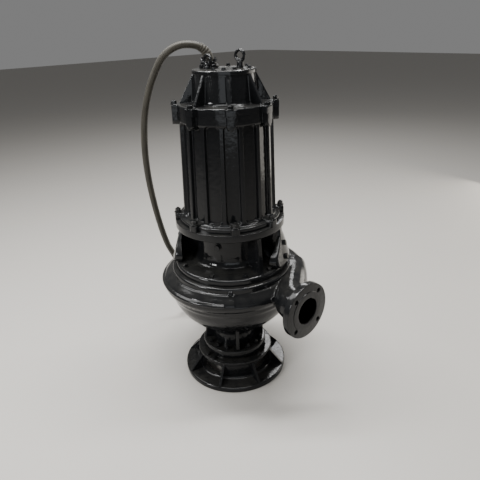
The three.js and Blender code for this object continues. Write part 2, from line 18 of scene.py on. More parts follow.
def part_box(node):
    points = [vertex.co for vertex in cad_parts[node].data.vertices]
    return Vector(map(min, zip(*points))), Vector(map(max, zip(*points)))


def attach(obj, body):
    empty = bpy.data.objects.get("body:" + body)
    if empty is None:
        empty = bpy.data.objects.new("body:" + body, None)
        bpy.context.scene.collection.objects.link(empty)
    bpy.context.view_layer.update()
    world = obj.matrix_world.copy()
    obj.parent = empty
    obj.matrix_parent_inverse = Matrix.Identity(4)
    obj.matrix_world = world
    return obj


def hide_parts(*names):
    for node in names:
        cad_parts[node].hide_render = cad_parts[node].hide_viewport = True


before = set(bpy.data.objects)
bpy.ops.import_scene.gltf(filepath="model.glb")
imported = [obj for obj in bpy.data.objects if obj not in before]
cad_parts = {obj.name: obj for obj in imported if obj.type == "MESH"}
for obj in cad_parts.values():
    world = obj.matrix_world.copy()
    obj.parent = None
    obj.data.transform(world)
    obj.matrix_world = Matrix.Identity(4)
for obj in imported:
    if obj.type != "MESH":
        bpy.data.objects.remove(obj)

Array = np.ndarray
Thing = bpy.types.Object
Socket = bpy.types.NodeSocket
Material = bpy.types.Material
Names = Sequence[str]
Pair = tuple[float, float]
Triple = tuple[float, float, float]
Colour = tuple[float, float, float, float]

LOG = logging.getLogger("pump")
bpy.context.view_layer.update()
SHAFT = np.array((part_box("lid")[0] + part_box("lid")[1]) / 2) * (1, 1, 0)
BODY = "root"
RANDOM = np.random.default_rng(41)
UP = (0.0, 0.0, 1.0)
# Air between two pieces that would touch.
SEAT_GAP = 0.0003
# How deep a fastener sits in its seat.
SUNK = 0.0005
# First radius of a profile that is turned without a bore.
PIN_BORE = 0.001
# Angle past which a fastener's edge stays crisp.
BOLT_CREASE = 30
# Least sine that is divided by.
THIN = 1e-4


class Slot(Enum):
    """Material slots of the record."""

    ENAMEL = "black_enamel"
    IRON = "bare_iron"
    RUBBER = "cable_rubber"


def heights(node: str) -> Pair:
    """Lowest and highest place of a CAD node."""
    low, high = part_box(node)
    return low.z, high.z


def unit(vectors: Array) -> Array:
    """Vectors at length one."""
    return vectors / np.linalg.norm(vectors, axis=-1, keepdims=True)


@dataclass
class Skin:
    """A surface made of points and of faces with four corners, where a triangle repeats its last corner.

    Attributes:
        points: Corners, one row of x, y, z each.
        faces: Four point numbers a row.
        uv: Place of each face's corners along and around the surface, or None.
    """

    points: Array
    faces: Array
    uv: Array | None = None

    def moved(self, by: Sequence[float]) -> "Skin":
        """Return the surface shifted by a vector."""
        return Skin(self.points + np.asarray(by, float), self.faces, self.uv)

    def turned(self, degrees: float) -> "Skin":
        """Return the surface turned anticlockwise about the shaft."""
        c, s = math.cos(math.radians(degrees)), math.sin(math.radians(degrees))
        return Skin(self.points @ np.array([[c, s, 0], [-s, c, 0], [0, 0, 1]]), self.faces, self.uv)

    def aimed(self, direction: Sequence[float]) -> "Skin":
        """Return the surface with its own +Z axis laid along a direction."""
        spin = np.array(Vector(direction).to_track_quat("Z", "Y").to_matrix())
        return Skin(self.points @ spin.T, self.faces, self.uv)

    def mesh_object(self, name: str) -> Thing:
        """Make the surface an object at the origin, with its place in its mesh.

        Args:
            name: Name of the object and its mesh.

        Returns:
            The new object, linked to the scene.
        """
        three = self.faces[:, 2] == self.faces[:, 3]
        mesh = bpy.data.meshes.new(name)
        faces = self.faces[~three].tolist() + self.faces[three][:, :3].tolist()
        mesh.from_pydata((self.points + SHAFT).tolist(), [], faces)
        if self.uv is not None:
            layer = mesh.uv_layers.new(name="Along")
            corners = np.concatenate([self.uv[~three].reshape(-1, 2), self.uv[three][:, :3].reshape(-1, 2)])
            layer.data.foreach_set("uv", corners.astype(np.float32).ravel())
        return linked(bpy.data.objects.new(name, mesh))


def linked(thing: Thing) -> Thing:
    """Link an object to the scene and return it."""
    bpy.context.scene.collection.objects.link(thing)
    return thing


def joined(skins: Iterable[Skin]) -> Skin:
    """Join several surfaces into one, each still closed in itself.

    Args:
        skins: The surfaces.

    Returns:
        One surface with the points and faces of all, and no uv.
    """
    parts = list(skins)
    starts = np.cumsum([0] + [len(part.points) for part in parts[:-1]])
    faces = np.concatenate([part.faces + start for part, start in zip(parts, starts)])
    return Skin(np.concatenate([part.points for part in parts]), faces)


def knit(grid: Array, ring_rows: bool = False) -> Skin:
    """Knit a grid of points into a surface, each face between two rows and two columns.

    Args:
        grid: Points as (rows, columns, 3), rows up the outside and columns anticlockwise round a full turn.
        ring_rows: Whether the last row joins the first.

    Returns:
        The surface, with the grid's own rows and columns as its uv.
    """
    rows, columns = grid.shape[:2]
    i = np.arange(rows if ring_rows else rows - 1)[:, None]
    j = np.arange(columns)[None, :]
    i2, j2 = (i + 1) % rows, (j + 1) % columns
    faces = np.stack([i * columns + j, i * columns + j2, i2 * columns + j2, i2 * columns + j], -1)
    left, right, low, high = np.broadcast_arrays(j / columns, (j + 1) / columns, i / rows, (i + 1) / rows)
    uv = np.stack([low, left, low, right, high, right, high, left], -1).reshape(-1, 4, 2)
    return Skin(grid.reshape(-1, 3), faces.reshape(-1, 4), uv)


def capped(grid: Array) -> Skin:
    """Knit a grid into a closed body whose first and last rows end in fans about their middles.

    Args:
        grid: Points as for knit.

    Returns:
        The closed surface.
    """
    side = knit(grid)
    rows, columns = grid.shape[:2]
    j = np.arange(columns)
    j2, last = (j + 1) % columns, (rows - 1) * columns
    foot = np.full(columns, len(side.points))
    low = np.stack([j2, j, foot, foot], -1)
    high = np.stack([last + j, last + j2, foot + 1, foot + 1], -1)
    points = np.concatenate([side.points, grid[:1].mean(1), grid[-1:].mean(1)])
    uv = np.concatenate([side.uv, np.zeros((2 * columns, 4, 2))])
    return Skin(points, np.concatenate([side.faces, low, high]), uv)


def rounded(corners: Sequence[Triple], closed: bool = False, steps: int = 4) -> Array:
    """Round the corners of an outline.

    Each corner becomes a quadratic curve between the two points that lie its own radius before and after it,
    or nearly half a side where the side is short: (1-t)^2 A + 2t(1-t) corner + t^2 B.

    Args:
        corners: Rows of x, y and the corner's radius.
        closed: Whether the last corner joins the first.
        steps: Pieces of each curve.

    Returns:
        Points of the rounded outline as (n, 2).
    """
    table = np.asarray(corners, float)
    point, radius = table[:, :2], table[:, 2]
    before, after = np.roll(point, 1, 0), np.roll(point, -1, 0)
    if not closed:
        before[0], after[-1] = point[0], point[-1]
    back, ahead = before - point, after - point
    back_length, ahead_length = np.linalg.norm(back, axis=1), np.linalg.norm(ahead, axis=1)
    reach = np.minimum(radius, 0.49 * np.minimum(back_length, ahead_length))
    start = point + back * (reach / np.maximum(back_length, 1e-9))[:, None]
    end = point + ahead * (reach / np.maximum(ahead_length, 1e-9))[:, None]
    t = np.linspace(0, 1, steps + 1)[None, :, None]
    curve = (1 - t) ** 2 * start[:, None] + 2 * t * (1 - t) * point[:, None] + t**2 * end[:, None]
    flat = curve.reshape(-1, 2)
    return flat[np.r_[True, np.linalg.norm(np.diff(flat, axis=0), axis=1) > 1e-7]]


def along_sides(corner: Array, share: Array) -> Array:
    """Points at some shares of each side of an outline, side by side."""
    return (corner[:-1, None] + (corner[1:] - corner[:-1])[:, None] * share[None, :, None]).reshape(-1, 2)


def radius_at(profile: Array, height: Array) -> Array:
    """Radius of a profile that rises all the way, at some heights."""
    return np.interp(height, profile[:, 1], profile[:, 0])


def around(angles: Array, radius: Array, height: Array) -> Array:
    """Points at angles, radii and heights about the shaft, as (..., 3)."""
    a = np.radians(angles)
    return np.stack(np.broadcast_arrays(radius * np.cos(a), radius * np.sin(a), height), -1)


def turned_rows(angles: Array, profile: Array) -> Array:
    """Grid of a profile's radii and heights carried round to angles."""
    return around(np.asarray(angles)[None, :], profile[:, :1], profile[:, 1:])


def spaced(start: float, count: int) -> Array:
    """Angles at an even pitch round a full turn."""
    return start + np.arange(count) * 360 / count


def repeated(start: float, count: int, sector: Array) -> Array:
    """Angles of one sector, repeated at an even pitch round a full turn."""
    return (start + np.arange(count)[:, None] * (360 / count) + sector[None, :]).ravel()


def lathe(corners: Sequence[Triple], sides: int = 144, closed: bool = False) -> Skin:
    """Turn a rounded profile of radius, height and corner radius about the shaft.

    Args:
        corners: The profile, up the outside. An open one is closed by flat ends.
        sides: Points around.
        closed: Whether the profile closes on itself, as on a ring.

    Returns:
        The turned surface: each profile point carried round a full turn.
    """
    grid = turned_rows(spaced(0, sides), rounded(corners, closed))
    return knit(grid, ring_rows=True) if closed else capped(grid)


def disc(radius: float, span: Pair, edges: Pair = (0, 0), sides: int = 32, bore: float = PIN_BORE) -> Skin:
    """A disc or pin between two heights, with its lower and its upper edge rounded by two radii."""
    (low, high), (foot, head) = span, edges
    return lathe([(bore, low, 0), (radius, low, foot), (radius, high, head), (bore, high, 0)], sides)


def smooth_high(a: Array, b: Array, k: float) -> Array:
    """The higher of two fields, rounded where they differ by less than k: max + (k - |a - b|)^2 / 4k."""
    h = np.clip(k - np.abs(a - b), 0, None)
    return np.maximum(a, b) + h * h / (4 * k)


def smooth_low(a: Array, b: Array, k: float) -> Array:
    """The lower of two fields, rounded where they differ by less than k."""
    return -smooth_high(-a, -b, k)


def ease(x: Array) -> Array:
    """Rise from 0 to 1 with level ends: 3x^2 - 2x^3."""
    t = np.clip(x, 0, 1)
    return t * t * (3 - 2 * t)


def off_angle(angles: Array, start: float, pitch: float) -> Array:
    """Signed angle to the nearest of the places at start + k * pitch."""
    return (angles - start + pitch / 2) % pitch - pitch / 2


def steepness(off: Array) -> Array:
    """Sine of angles off a middle, without sign and never so small that it can't be divided by."""
    return np.maximum(np.abs(np.sin(np.radians(off))), THIN)


def round_box(u: Array, v: Array, half_u: float, half_v: float, radius: float) -> Array:
    """Signed distance to a rectangle with round corners: length of the outer excess plus the inner one."""
    a, b = np.abs(u) - (half_u - radius), np.abs(v) - (half_v - radius)
    return np.hypot(np.maximum(a, 0), np.maximum(b, 0)) + np.minimum(np.maximum(a, b), 0) - radius


def graded(
    low: float, high: float, spots: Sequence[float], fine: float, coarse: float, reach: float
) -> Array:
    """Places from low to high, packed near some spots.

    The density is 1/coarse plus, for each spot, 1/fine times exp(-((x - spot) / reach)^4), and the places
    share its integral equally.

    Args:
        low: First place.
        high: Last place.
        spots: Where the places are packed.
        fine: Spacing at a spot.
        coarse: Spacing far from every spot.
        reach: How far a spot's packing goes.

    Returns:
        The places, in order.
    """
    x = np.linspace(low, high, 6000)
    near = np.exp(-(((x[:, None] - np.asarray(spots, float)[None, :]) / reach) ** 4)).max(1)
    density = 1 / coarse + near / fine
    total = np.concatenate([[0], np.cumsum((density[1:] + density[:-1]) / 2 * np.diff(x))])
    return np.interp(np.linspace(0, total[-1], math.ceil(total[-1]) + 1), total, x)


def tube(path: Array, radius: Array | float, sides: int, lean: Sequence[float]) -> Skin:
    """Carry a round section along a path.

    The section's first axis is a fixed vector crossed with the path's direction, and its second axis is the
    direction crossed with the first, so the section doesn't spin where the path isn't along that vector.

    Args:
        path: Middle line as (n, 3).
        radius: One radius, or one for each point.
        sides: Points around.
        lean: The fixed vector.

    Returns:
        The closed tube with flat ends.
    """
    along = unit(np.gradient(path, axis=0))
    first = unit(np.cross(np.asarray(lean, float), along))
    second = np.cross(along, first)
    t = np.radians(spaced(0, sides))[None, :, None]
    size = np.broadcast_to(np.asarray(radius, float), (len(path),))[:, None, None]
    return capped(path[:, None] + size * (first[:, None] * np.cos(t) + second[:, None] * np.sin(t)))


def spline(points: Array, per: int) -> Array:
    """A smooth curve through points, each stretch a cubic with tangents from its neighbours at root spacing.

    Args:
        points: Route as (n, 3).
        per: Samples of each stretch.

    Returns:
        The curve's points, which include the route's own.
    """
    p = np.concatenate([[2 * points[0] - points[1]], points, [2 * points[-1] - points[-2]]])
    gap = np.sqrt(np.linalg.norm(np.diff(p, axis=0), axis=1))[:, None]
    g0, g1, g2 = gap[:-2], gap[1:-1], gap[2:]
    a, b, c, d = p[:-3], p[1:-2], p[2:-1], p[3:]
    leave = ((b - a) / g0 - (c - a) / (g0 + g1) + (c - b) / g1) * g1
    arrive = ((c - b) / g1 - (d - b) / (g1 + g2) + (d - c) / g2) * g1
    t = (np.arange(per) / per)[None, :, None]
    b, c, leave, arrive = b[:, None], c[:, None], leave[:, None], arrive[:, None]
    curve = (2 * t**3 - 3 * t**2 + 1) * b + (t**3 - 2 * t**2 + t) * leave
    curve = curve + (3 * t**2 - 2 * t**3) * c + (t**3 - t**2) * arrive
    return np.concatenate([curve.reshape(-1, 3), points[-1:]])


def evenly(path: Array, step: float) -> Array:
    """Points along a path at an even spacing.

    Args:
        path: The path as (n, 3).
        step: The spacing, nearly.

    Returns:
        The points, from end to end.
    """
    run = np.concatenate([[0], np.cumsum(np.linalg.norm(np.diff(path, axis=0), axis=1))])
    want = np.linspace(0, run[-1], max(2, round(run[-1] / step) + 1))
    return np.stack([np.interp(want, run, path[:, k]) for k in range(3)], -1)


def fin_columns(half: float, *stretches: tuple[float, float, int]) -> Array:
    """Angles off a fin's middle at which its two side planes pass some radii: arcsin(half / radius).

    Args:
        half: Half the fin's thickness.
        *stretches: First radius, last radius and count of each run of radii.

    Returns:
        The angles in order, the middle among them.
    """
    side = np.degrees(np.arcsin(half / np.concatenate([np.linspace(*stretch) for stretch in stretches])))
    return np.unique(np.concatenate([-side, side, [0]]))


def finned_turn(start: float, count: int, near: Array, gap: float, between: int) -> Array:
    """Angles round a full turn, packed at even fins.

    Args:
        start: Angle of the first fin.
        count: Number of fins.
        near: Angles off a fin's middle, as from fin_columns.
        gap: Angle from the last of them to the first beyond.
        between: How many lie evenly between two fins.

    Returns:
        The angles, in order.
    """
    edge, pitch = near.max() + gap, 360 / count
    return repeated(start, count, np.concatenate([near, np.linspace(edge, pitch - edge, between)]))


@dataclass
class Recess:
    """Rays into a recess that runs round the shaft. They point inwards from a ring outside it.

    Attributes:
        ring: Radius and height of the ring.
        wall: Corners of the recess's wall from its lower lip to its upper one, rising in slope from the ring.
        steps: Pieces of each of its round corners.
        between: Points on each side of it, so that a straight side stays straight when read by slope.
        every: How many points apart the rays are packed.
        fine: Angle between packed rays.
        coarse: Angle between rays elsewhere.
        reach: How far from such a point the rays are packed.
    """

    ring: Pair
    wall: Sequence[Triple]
    steps: int
    between: int
    every: int
    fine: float
    coarse: float = 3.0
    reach: float = 2.0

    def rays(self) -> tuple[Array, Array]:
        """Read the rays' lengths from the wall's outline.

        Returns:
            Rise in radians and length of each ray, as columns.
        """
        corner = rounded(self.wall, steps=self.steps)
        line = along_sides(corner, np.linspace(0, 1, self.between, endpoint=False))
        line = np.concatenate([line, corner[-1:]])
        inward, up = self.ring[0] - line[:, 0], line[:, 1] - self.ring[1]
        slope = np.degrees(np.arctan2(up, inward))
        packed = slope[:: self.every]
        slopes = graded(slope[0], slope[-1], packed, self.fine, self.coarse, self.reach)
        return np.radians(slopes)[:, None], np.interp(slopes, slope, np.hypot(inward, up))[:, None]

    def to_edge(self, rise: Array, tilt: float, at_zero: Array | float) -> Array:
        """Length of rays to a fin's edge, whose radius is at_zero + tilt * height."""
        return (self.ring[0] - at_zero - tilt * self.ring[1]) / (np.cos(rise) + tilt * np.sin(rise))

    def to_side(self, rise: Array, off: Array, half: float) -> Array:
        """Length of rays to a fin's side plane, whose radius is half / |sine of the angle off its middle|."""
        return (self.ring[0] - half / steepness(off)) / np.cos(rise)

    def casting(self, angles: Array, rise: Array, length: Array, below: Array, above: Array) -> Array:
        """Grid of a casting with this recess.

        Args:
            angles: Angles around.
            rise: Rise of the rays in radians.
            length: How far they reach.
            below: Turned profile up to the recess's lower lip.
            above: Turned profile from its upper lip on.

        Returns:
            The grid: the lower profile, the rays' ends and the upper profile.
        """
        out, up = self.ring[0] - length * np.cos(rise), self.ring[1] + length * np.sin(rise)
        rows = [turned_rows(angles, profile) for profile in (below[:-1], above[1:])]
        return np.concatenate([rows[0], around(angles[None, :], out, up), rows[1]])


class Paint:
    """Nodes of one material, with short calls that add and link them."""

    def __init__(self, name: str) -> None:
        """Start an empty material with its shader and the object's own coordinates.

        Args:
            name: Name of the material.
        """
        self.material = bpy.data.materials.new(name)
        self.material.use_nodes = True
        self.tree = self.material.node_tree
        self.tree.nodes.clear()
        output = self.tree.nodes.new("ShaderNodeOutputMaterial")
        self.shader = self.tree.nodes.new("ShaderNodeBsdfPrincipled")
        self.tree.links.new(self.shader.outputs[0], output.inputs[0])
        self.place = self.add("ShaderNodeTexCoord").outputs["Object"]

    def add(self, kind: str, inputs: dict | None = None, **settings: object) -> bpy.types.Node:
        """Add a node.

        Args:
            kind: Blender's name of the node.
            inputs: Values or sockets by input name or number.
            **settings: Properties of the node.

        Returns:
            The node.
        """
        node = self.tree.nodes.new(kind)
        for name, value in settings.items():
            setattr(node, name, value)
        for name, value in (inputs or {}).items():
            self.feed(node.inputs[name], value)
        return node

    def feed(self, socket: Socket, value: object) -> None:
        """Link a socket to another, or set its value.

        Args:
            socket: The input.
            value: The other socket, or the value.
        """
        if isinstance(value, Socket):
            self.tree.links.new(value, socket)
        else:
            socket.default_value = value

    def noise(self, scale: float, detail: float = 2, stretch: Triple = (1, 1, 1)) -> Socket:
        """Noise in the object's own metres, with its pattern stretched by three factors."""
        where = self.add("ShaderNodeMapping", {"Vector": self.place, "Scale": stretch}).outputs[0]
        return self.add("ShaderNodeTexNoise", {"Vector": where, "Scale": scale, "Detail": detail}).outputs[0]

    def span(self, value: object, low: float, high: float, to_low: float, to_high: float) -> Socket:
        """Map a value's range to another, held at its ends."""
        inputs = {0: value, 1: low, 2: high, 3: to_low, 4: to_high}
        return self.add("ShaderNodeMapRange", inputs).outputs[0]

    def math(self, operation: str, a: object, b: object) -> Socket:
        """One operation on two values."""
        return self.add("ShaderNodeMath", {0: a, 1: b}, operation=operation).outputs[0]

    def blend(self, share: object, a: object, b: object) -> Socket:
        """A colour between two colours."""
        return self.add("ShaderNodeMix", {0: share, 6: a, 7: b}, data_type="RGBA").outputs[2]

    def upward(self) -> Socket:
        """How far the surface faces up, from -1 to 1."""
        normal = self.add("ShaderNodeNewGeometry").outputs["Normal"]
        return self.add("ShaderNodeSeparateXYZ", {0: normal}).outputs[2]

    def bump(self, height: object, distance: float, over: Socket | None = None) -> Socket:
        """A normal bent by a height, over another normal if one is given."""
        inputs = {"Height": height, "Distance": distance, **({} if over is None else {"Normal": over})}
        return self.add("ShaderNodeBump", inputs).outputs[0]

    def finish(self, **sockets: object) -> Material:
        """Feed the shader's sockets.

        Args:
            **sockets: Values or sockets by the inputs' names, with underscores for spaces.

        Returns:
            The material.
        """
        for name, value in sockets.items():
            self.feed(self.shader.inputs[name.replace("_", " ")], value)
        return self.material


class Finish:
    """A finish of the pump's pieces: its name, its slot in the record and its material."""

    name: str
    slot: Slot

    def material(self) -> Material:
        """Build the material."""
        raise NotImplementedError


@dataclass(frozen=True)
class Enamel(Finish):
    """Thick gloss enamel over rough iron castings, with runs, orange peel and settled dust.

    Attributes:
        dust: Colour of the dust on it.
        gloss: Roughness of the clean paint, lowest and highest.
        casting: Height of the lumps of the casting under the paint.
        runs: Height of the runs that the paint dried in.
        peel: Height of the orange peel.
        dusty: Most of the dust on a level top.
        specks: Most of the dust in a speck.
        lump_scale: Scale of the lumps' noise, as for each of the next.
    """

    name: str = "gloss_black_enamel"
    slot: Slot = Slot.ENAMEL
    colour: Colour = (0.0058, 0.0061, 0.0067, 1)
    dust: Colour = (0.11, 0.105, 0.09, 1)
    gloss: Pair = (0.03, 0.12)
    refraction: float = 1.34
    casting: float = 0.0008
    runs: float = 0.0005
    peel: float = 0.00008
    dusty: float = 0.16
    specks: float = 0.35
    lump_scale: float = 62
    run_scale: float = 70
    peel_scale: float = 420
    patch_scale: float = 9
    speck_scale: float = 240
    dust_scale: float = 26

    def material(self) -> Material:
        """Build the paint.

        Returns:
            The material.
        """
        p = Paint(self.name)
        lumps, runs = p.noise(self.lump_scale, 3), p.noise(self.run_scale, 2, (1, 1, 0.09))
        peel, patches = p.noise(self.peel_scale, 1), p.noise(self.patch_scale, 4)
        settled = p.span(p.upward(), 0.45, 0.95, 0, self.dusty)
        specks = p.span(p.noise(self.speck_scale, 2), 0.70, 0.76, 0, self.specks)
        dust = p.math("MULTIPLY", settled, p.span(p.noise(self.dust_scale, 6), 0.3, 0.75, 0.1, 1.0))
        dust = p.math("MAXIMUM", dust, p.math("MULTIPLY", specks, p.span(patches, 0.4, 0.6, 0, 0.5)))
        gloss = p.span(patches, 0.3, 0.72, *self.gloss)
        normal = p.bump(runs, self.runs, p.bump(lumps, self.casting))
        return p.finish(
            Base_Color=p.blend(dust, self.colour, self.dust),
            Roughness=p.math("ADD", gloss, p.math("MULTIPLY", dust, 0.9)),
            Normal=p.bump(peel, self.peel, normal),
            IOR=self.refraction,
        )


@dataclass(frozen=True)
class BareIron(Finish):
    """Dark cast iron without paint, as on the impeller.

    Attributes:
        dark: Colour of the casting's skin.
        rust: Colour where it has bloomed.
        grain: Height of its grain.
        grain_scale: Scale of its grain's noise.
    """

    name: str = "dark_cast_iron"
    slot: Slot = Slot.IRON
    dark: Colour = (0.035, 0.032, 0.03, 1)
    rust: Colour = (0.10, 0.045, 0.022, 1)
    metallic: float = 0.55
    grain: float = 0.0005
    grain_scale: float = 300
    bloom_scale: float = 38

    def material(self) -> Material:
        """Build the iron.

        Returns:
            The material.
        """
        p = Paint(self.name)
        bloom = p.span(p.noise(self.bloom_scale, 6), 0.48, 0.72, 0, 0.7)
        return p.finish(
            Base_Color=p.blend(bloom, self.dark, self.rust),
            Metallic=self.metallic,
            Roughness=p.span(bloom, 0, 0.7, 0.48, 0.85),
            Normal=p.bump(p.noise(self.grain_scale, 3), self.grain),
        )


@dataclass(frozen=True)
class Rubber(Finish):
    """Grey-brown rubber with rubbed streaks along it, a bloom of dust, and its upper faces painted lighter as
    light from above.

    Attributes:
        wear_and_top_light: Colour where it has been rubbed and dusted, and also painted on its upper faces as
            light from above.
        gloss: Roughness of clean and of worn rubber.
        streaks: Height of the streaks.
        long: Whether the piece has a uv along its length for the streaks.
        along_scale: How often the streaks change along the piece and around it.
    """

    name: str = "sheath_rubber"
    slot: Slot = Slot.RUBBER
    clean: Colour = (0.020, 0.0175, 0.0125, 1)
    wear_and_top_light: Colour = (0.050, 0.045, 0.034, 1)
    gloss: Pair = (0.42, 0.68)
    sheen: float = 0.05
    refraction: float = 1.36
    streaks: float = 0.0004
    grain: float = 0.00012
    long: bool = True
    along_scale: Triple = (90, 14, 1)
    patch_scale: float = 14
    grain_scale: float = 900

    def material(self) -> Material:
        """Build the rubber.

        Returns:
            The material.
        """
        p = Paint(self.name)
        patches, grain = p.noise(self.patch_scale, 5), p.noise(self.grain_scale, 2)
        if self.long:
            uv = p.add("ShaderNodeUVMap", uv_map="Along").outputs[0]
            where = p.add("ShaderNodeMapping", {"Vector": uv, "Scale": self.along_scale}).outputs[0]
            streaks = p.add("ShaderNodeTexNoise", {"Vector": where, "Scale": 1.0, "Detail": 4}).outputs[0]
        else:
            streaks = p.noise(60, 4, (1, 1, 0.4))
        wear_and_top_light = p.math("MULTIPLY", p.span(streaks, 0.35, 0.7, 0.15, 1), p.span(patches, 0.25, 0.7, 0.35, 1))
        # Upper faces take more of the lighter colour: dust settled there, plus painted light from above.
        wear_and_top_light = p.math("ADD", wear_and_top_light, p.span(p.upward(), 0.1, 1, 0, 0.12))
        return p.finish(
            Base_Color=p.blend(wear_and_top_light, self.clean, self.wear_and_top_light),
            Roughness=p.span(wear_and_top_light, 0, 1, *self.gloss),
            Normal=p.bump(grain, self.grain, p.bump(streaks, self.streaks)),
            Sheen_Weight=self.sheen,
            IOR=self.refraction,
        )


@dataclass(frozen=True)
class MattePatches(Finish):
    """One matte colour with darker patches, as on the sleeves of the cable's cores and on the floor.

    Attributes:
        scale: Scale of the patches.
        detail: Detail of their edges.
        low: Where in the noise the darker colour starts.
        most: Most of the darker colour.
        darker: The darker colour's share of the colour.
    """

    name: str
    colour: Colour
    scale: float = 180
    detail: float = 2
    low: float = 0.35
    most: float = 0.25
    darker: float = 0.6
    roughness: float = 0.42
    slot: Slot = Slot.RUBBER

    def material(self) -> Material:
        """Build the sleeve's or the floor's material.

        Returns:
            The material.
        """
        p = Paint(self.name)
        shade = p.span(p.noise(self.scale, self.detail), self.low, 0.7, 0, self.most)
        dull = tuple(self.darker * c for c in self.colour[:3]) + (1.0,)
        return p.finish(Base_Color=p.blend(shade, self.colour, dull), Roughness=self.roughness)


@cache
def made(finish: Finish) -> Material:
    """A finish's material, made the first time it is asked for."""
    return finish.material()


def paint(mesh: bpy.types.Mesh, finish: Finish) -> None:
    """Give a mesh its finish."""
    mesh.materials.clear()
    mesh.materials.append(made(finish))


def dress(thing: Thing, replaces: Names = (), crease: float = 38, finish: Finish = Enamel()) -> Thing:
    """Give an object its finish, set it on the pump's body and hide the CAD nodes that it stands for.

    Args:
        thing: The mesh object.
        replaces: CAD nodes that it stands for.
        crease: Angle between faces past which an edge stays crisp.
        finish: Its finish.

    Returns:
        The same object.
    """
    mesh = thing.data
    paint(mesh, finish)
    mesh.polygons.foreach_set("use_smooth", np.ones(len(mesh.polygons), bool))
    mesh.set_sharp_from_angle(angle=math.radians(crease))
    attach(thing, BODY)
    if replaces:
        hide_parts(*replaces)
    LOG.info("%s: %d faces", thing.name, len(mesh.polygons))
    return thing


def piece(
    name: str, skin: Skin, replaces: Names = (), crease: float = 38, finish: Finish = Enamel()
) -> Thing:
    """Make a surface a piece, dressed as by dress."""
    return dress(skin.mesh_object(name), replaces, crease, finish)


def fasteners(name: str, *skins: Skin) -> None:
    """Make fasteners one piece."""
    piece(name, joined(skins), crease=BOLT_CREASE)


def apply_modifier(thing: Thing, kind: str, **settings: object) -> None:
    """Run one modifier on an object and keep its result.

    Args:
        thing: The object.
        kind: Blender's name of the modifier.
        **settings: Properties of the modifier.
    """
    modifier = thing.modifiers.new(kind.lower(), kind)
    for name, value in settings.items():
        setattr(modifier, name, value)
    bpy.context.view_layer.update()
    depsgraph = bpy.context.evaluated_depsgraph_get()
    mesh = bpy.data.meshes.new_from_object(thing.evaluated_get(depsgraph))
    thing.modifiers.clear()
    old, thing.data = thing.data, mesh
    bpy.data.meshes.remove(old)


def cut_away(thing: Thing, cutter: Skin) -> None:
    """Cut a closed surface out of an object.

    Args:
        thing: The object.
        cutter: The surface.
    """
    tool = cutter.mesh_object("cutter")
    apply_modifier(thing, "BOOLEAN", operation="DIFFERENCE", solver="MANIFOLD", object=tool)
    bpy.data.objects.remove(tool)


def cast_skin(thing: Thing, voxel: float, passes: int) -> None:
    """Melt overlapping closed surfaces into one casting with filleted corners.

    The surfaces are sampled on a cubic grid, whose outer shell becomes the mesh, and each pass then moves
    every point halfway to the middle of its neighbours.

    Args:
        thing: The object.
        voxel: Spacing of the grid.
        passes: Passes of smoothing, which set the fillets' size.
    """
    apply_modifier(thing, "REMESH", mode="VOXEL", voxel_size=voxel, use_smooth_shade=True)
    apply_modifier(thing, "SMOOTH", factor=0.5, iterations=passes)


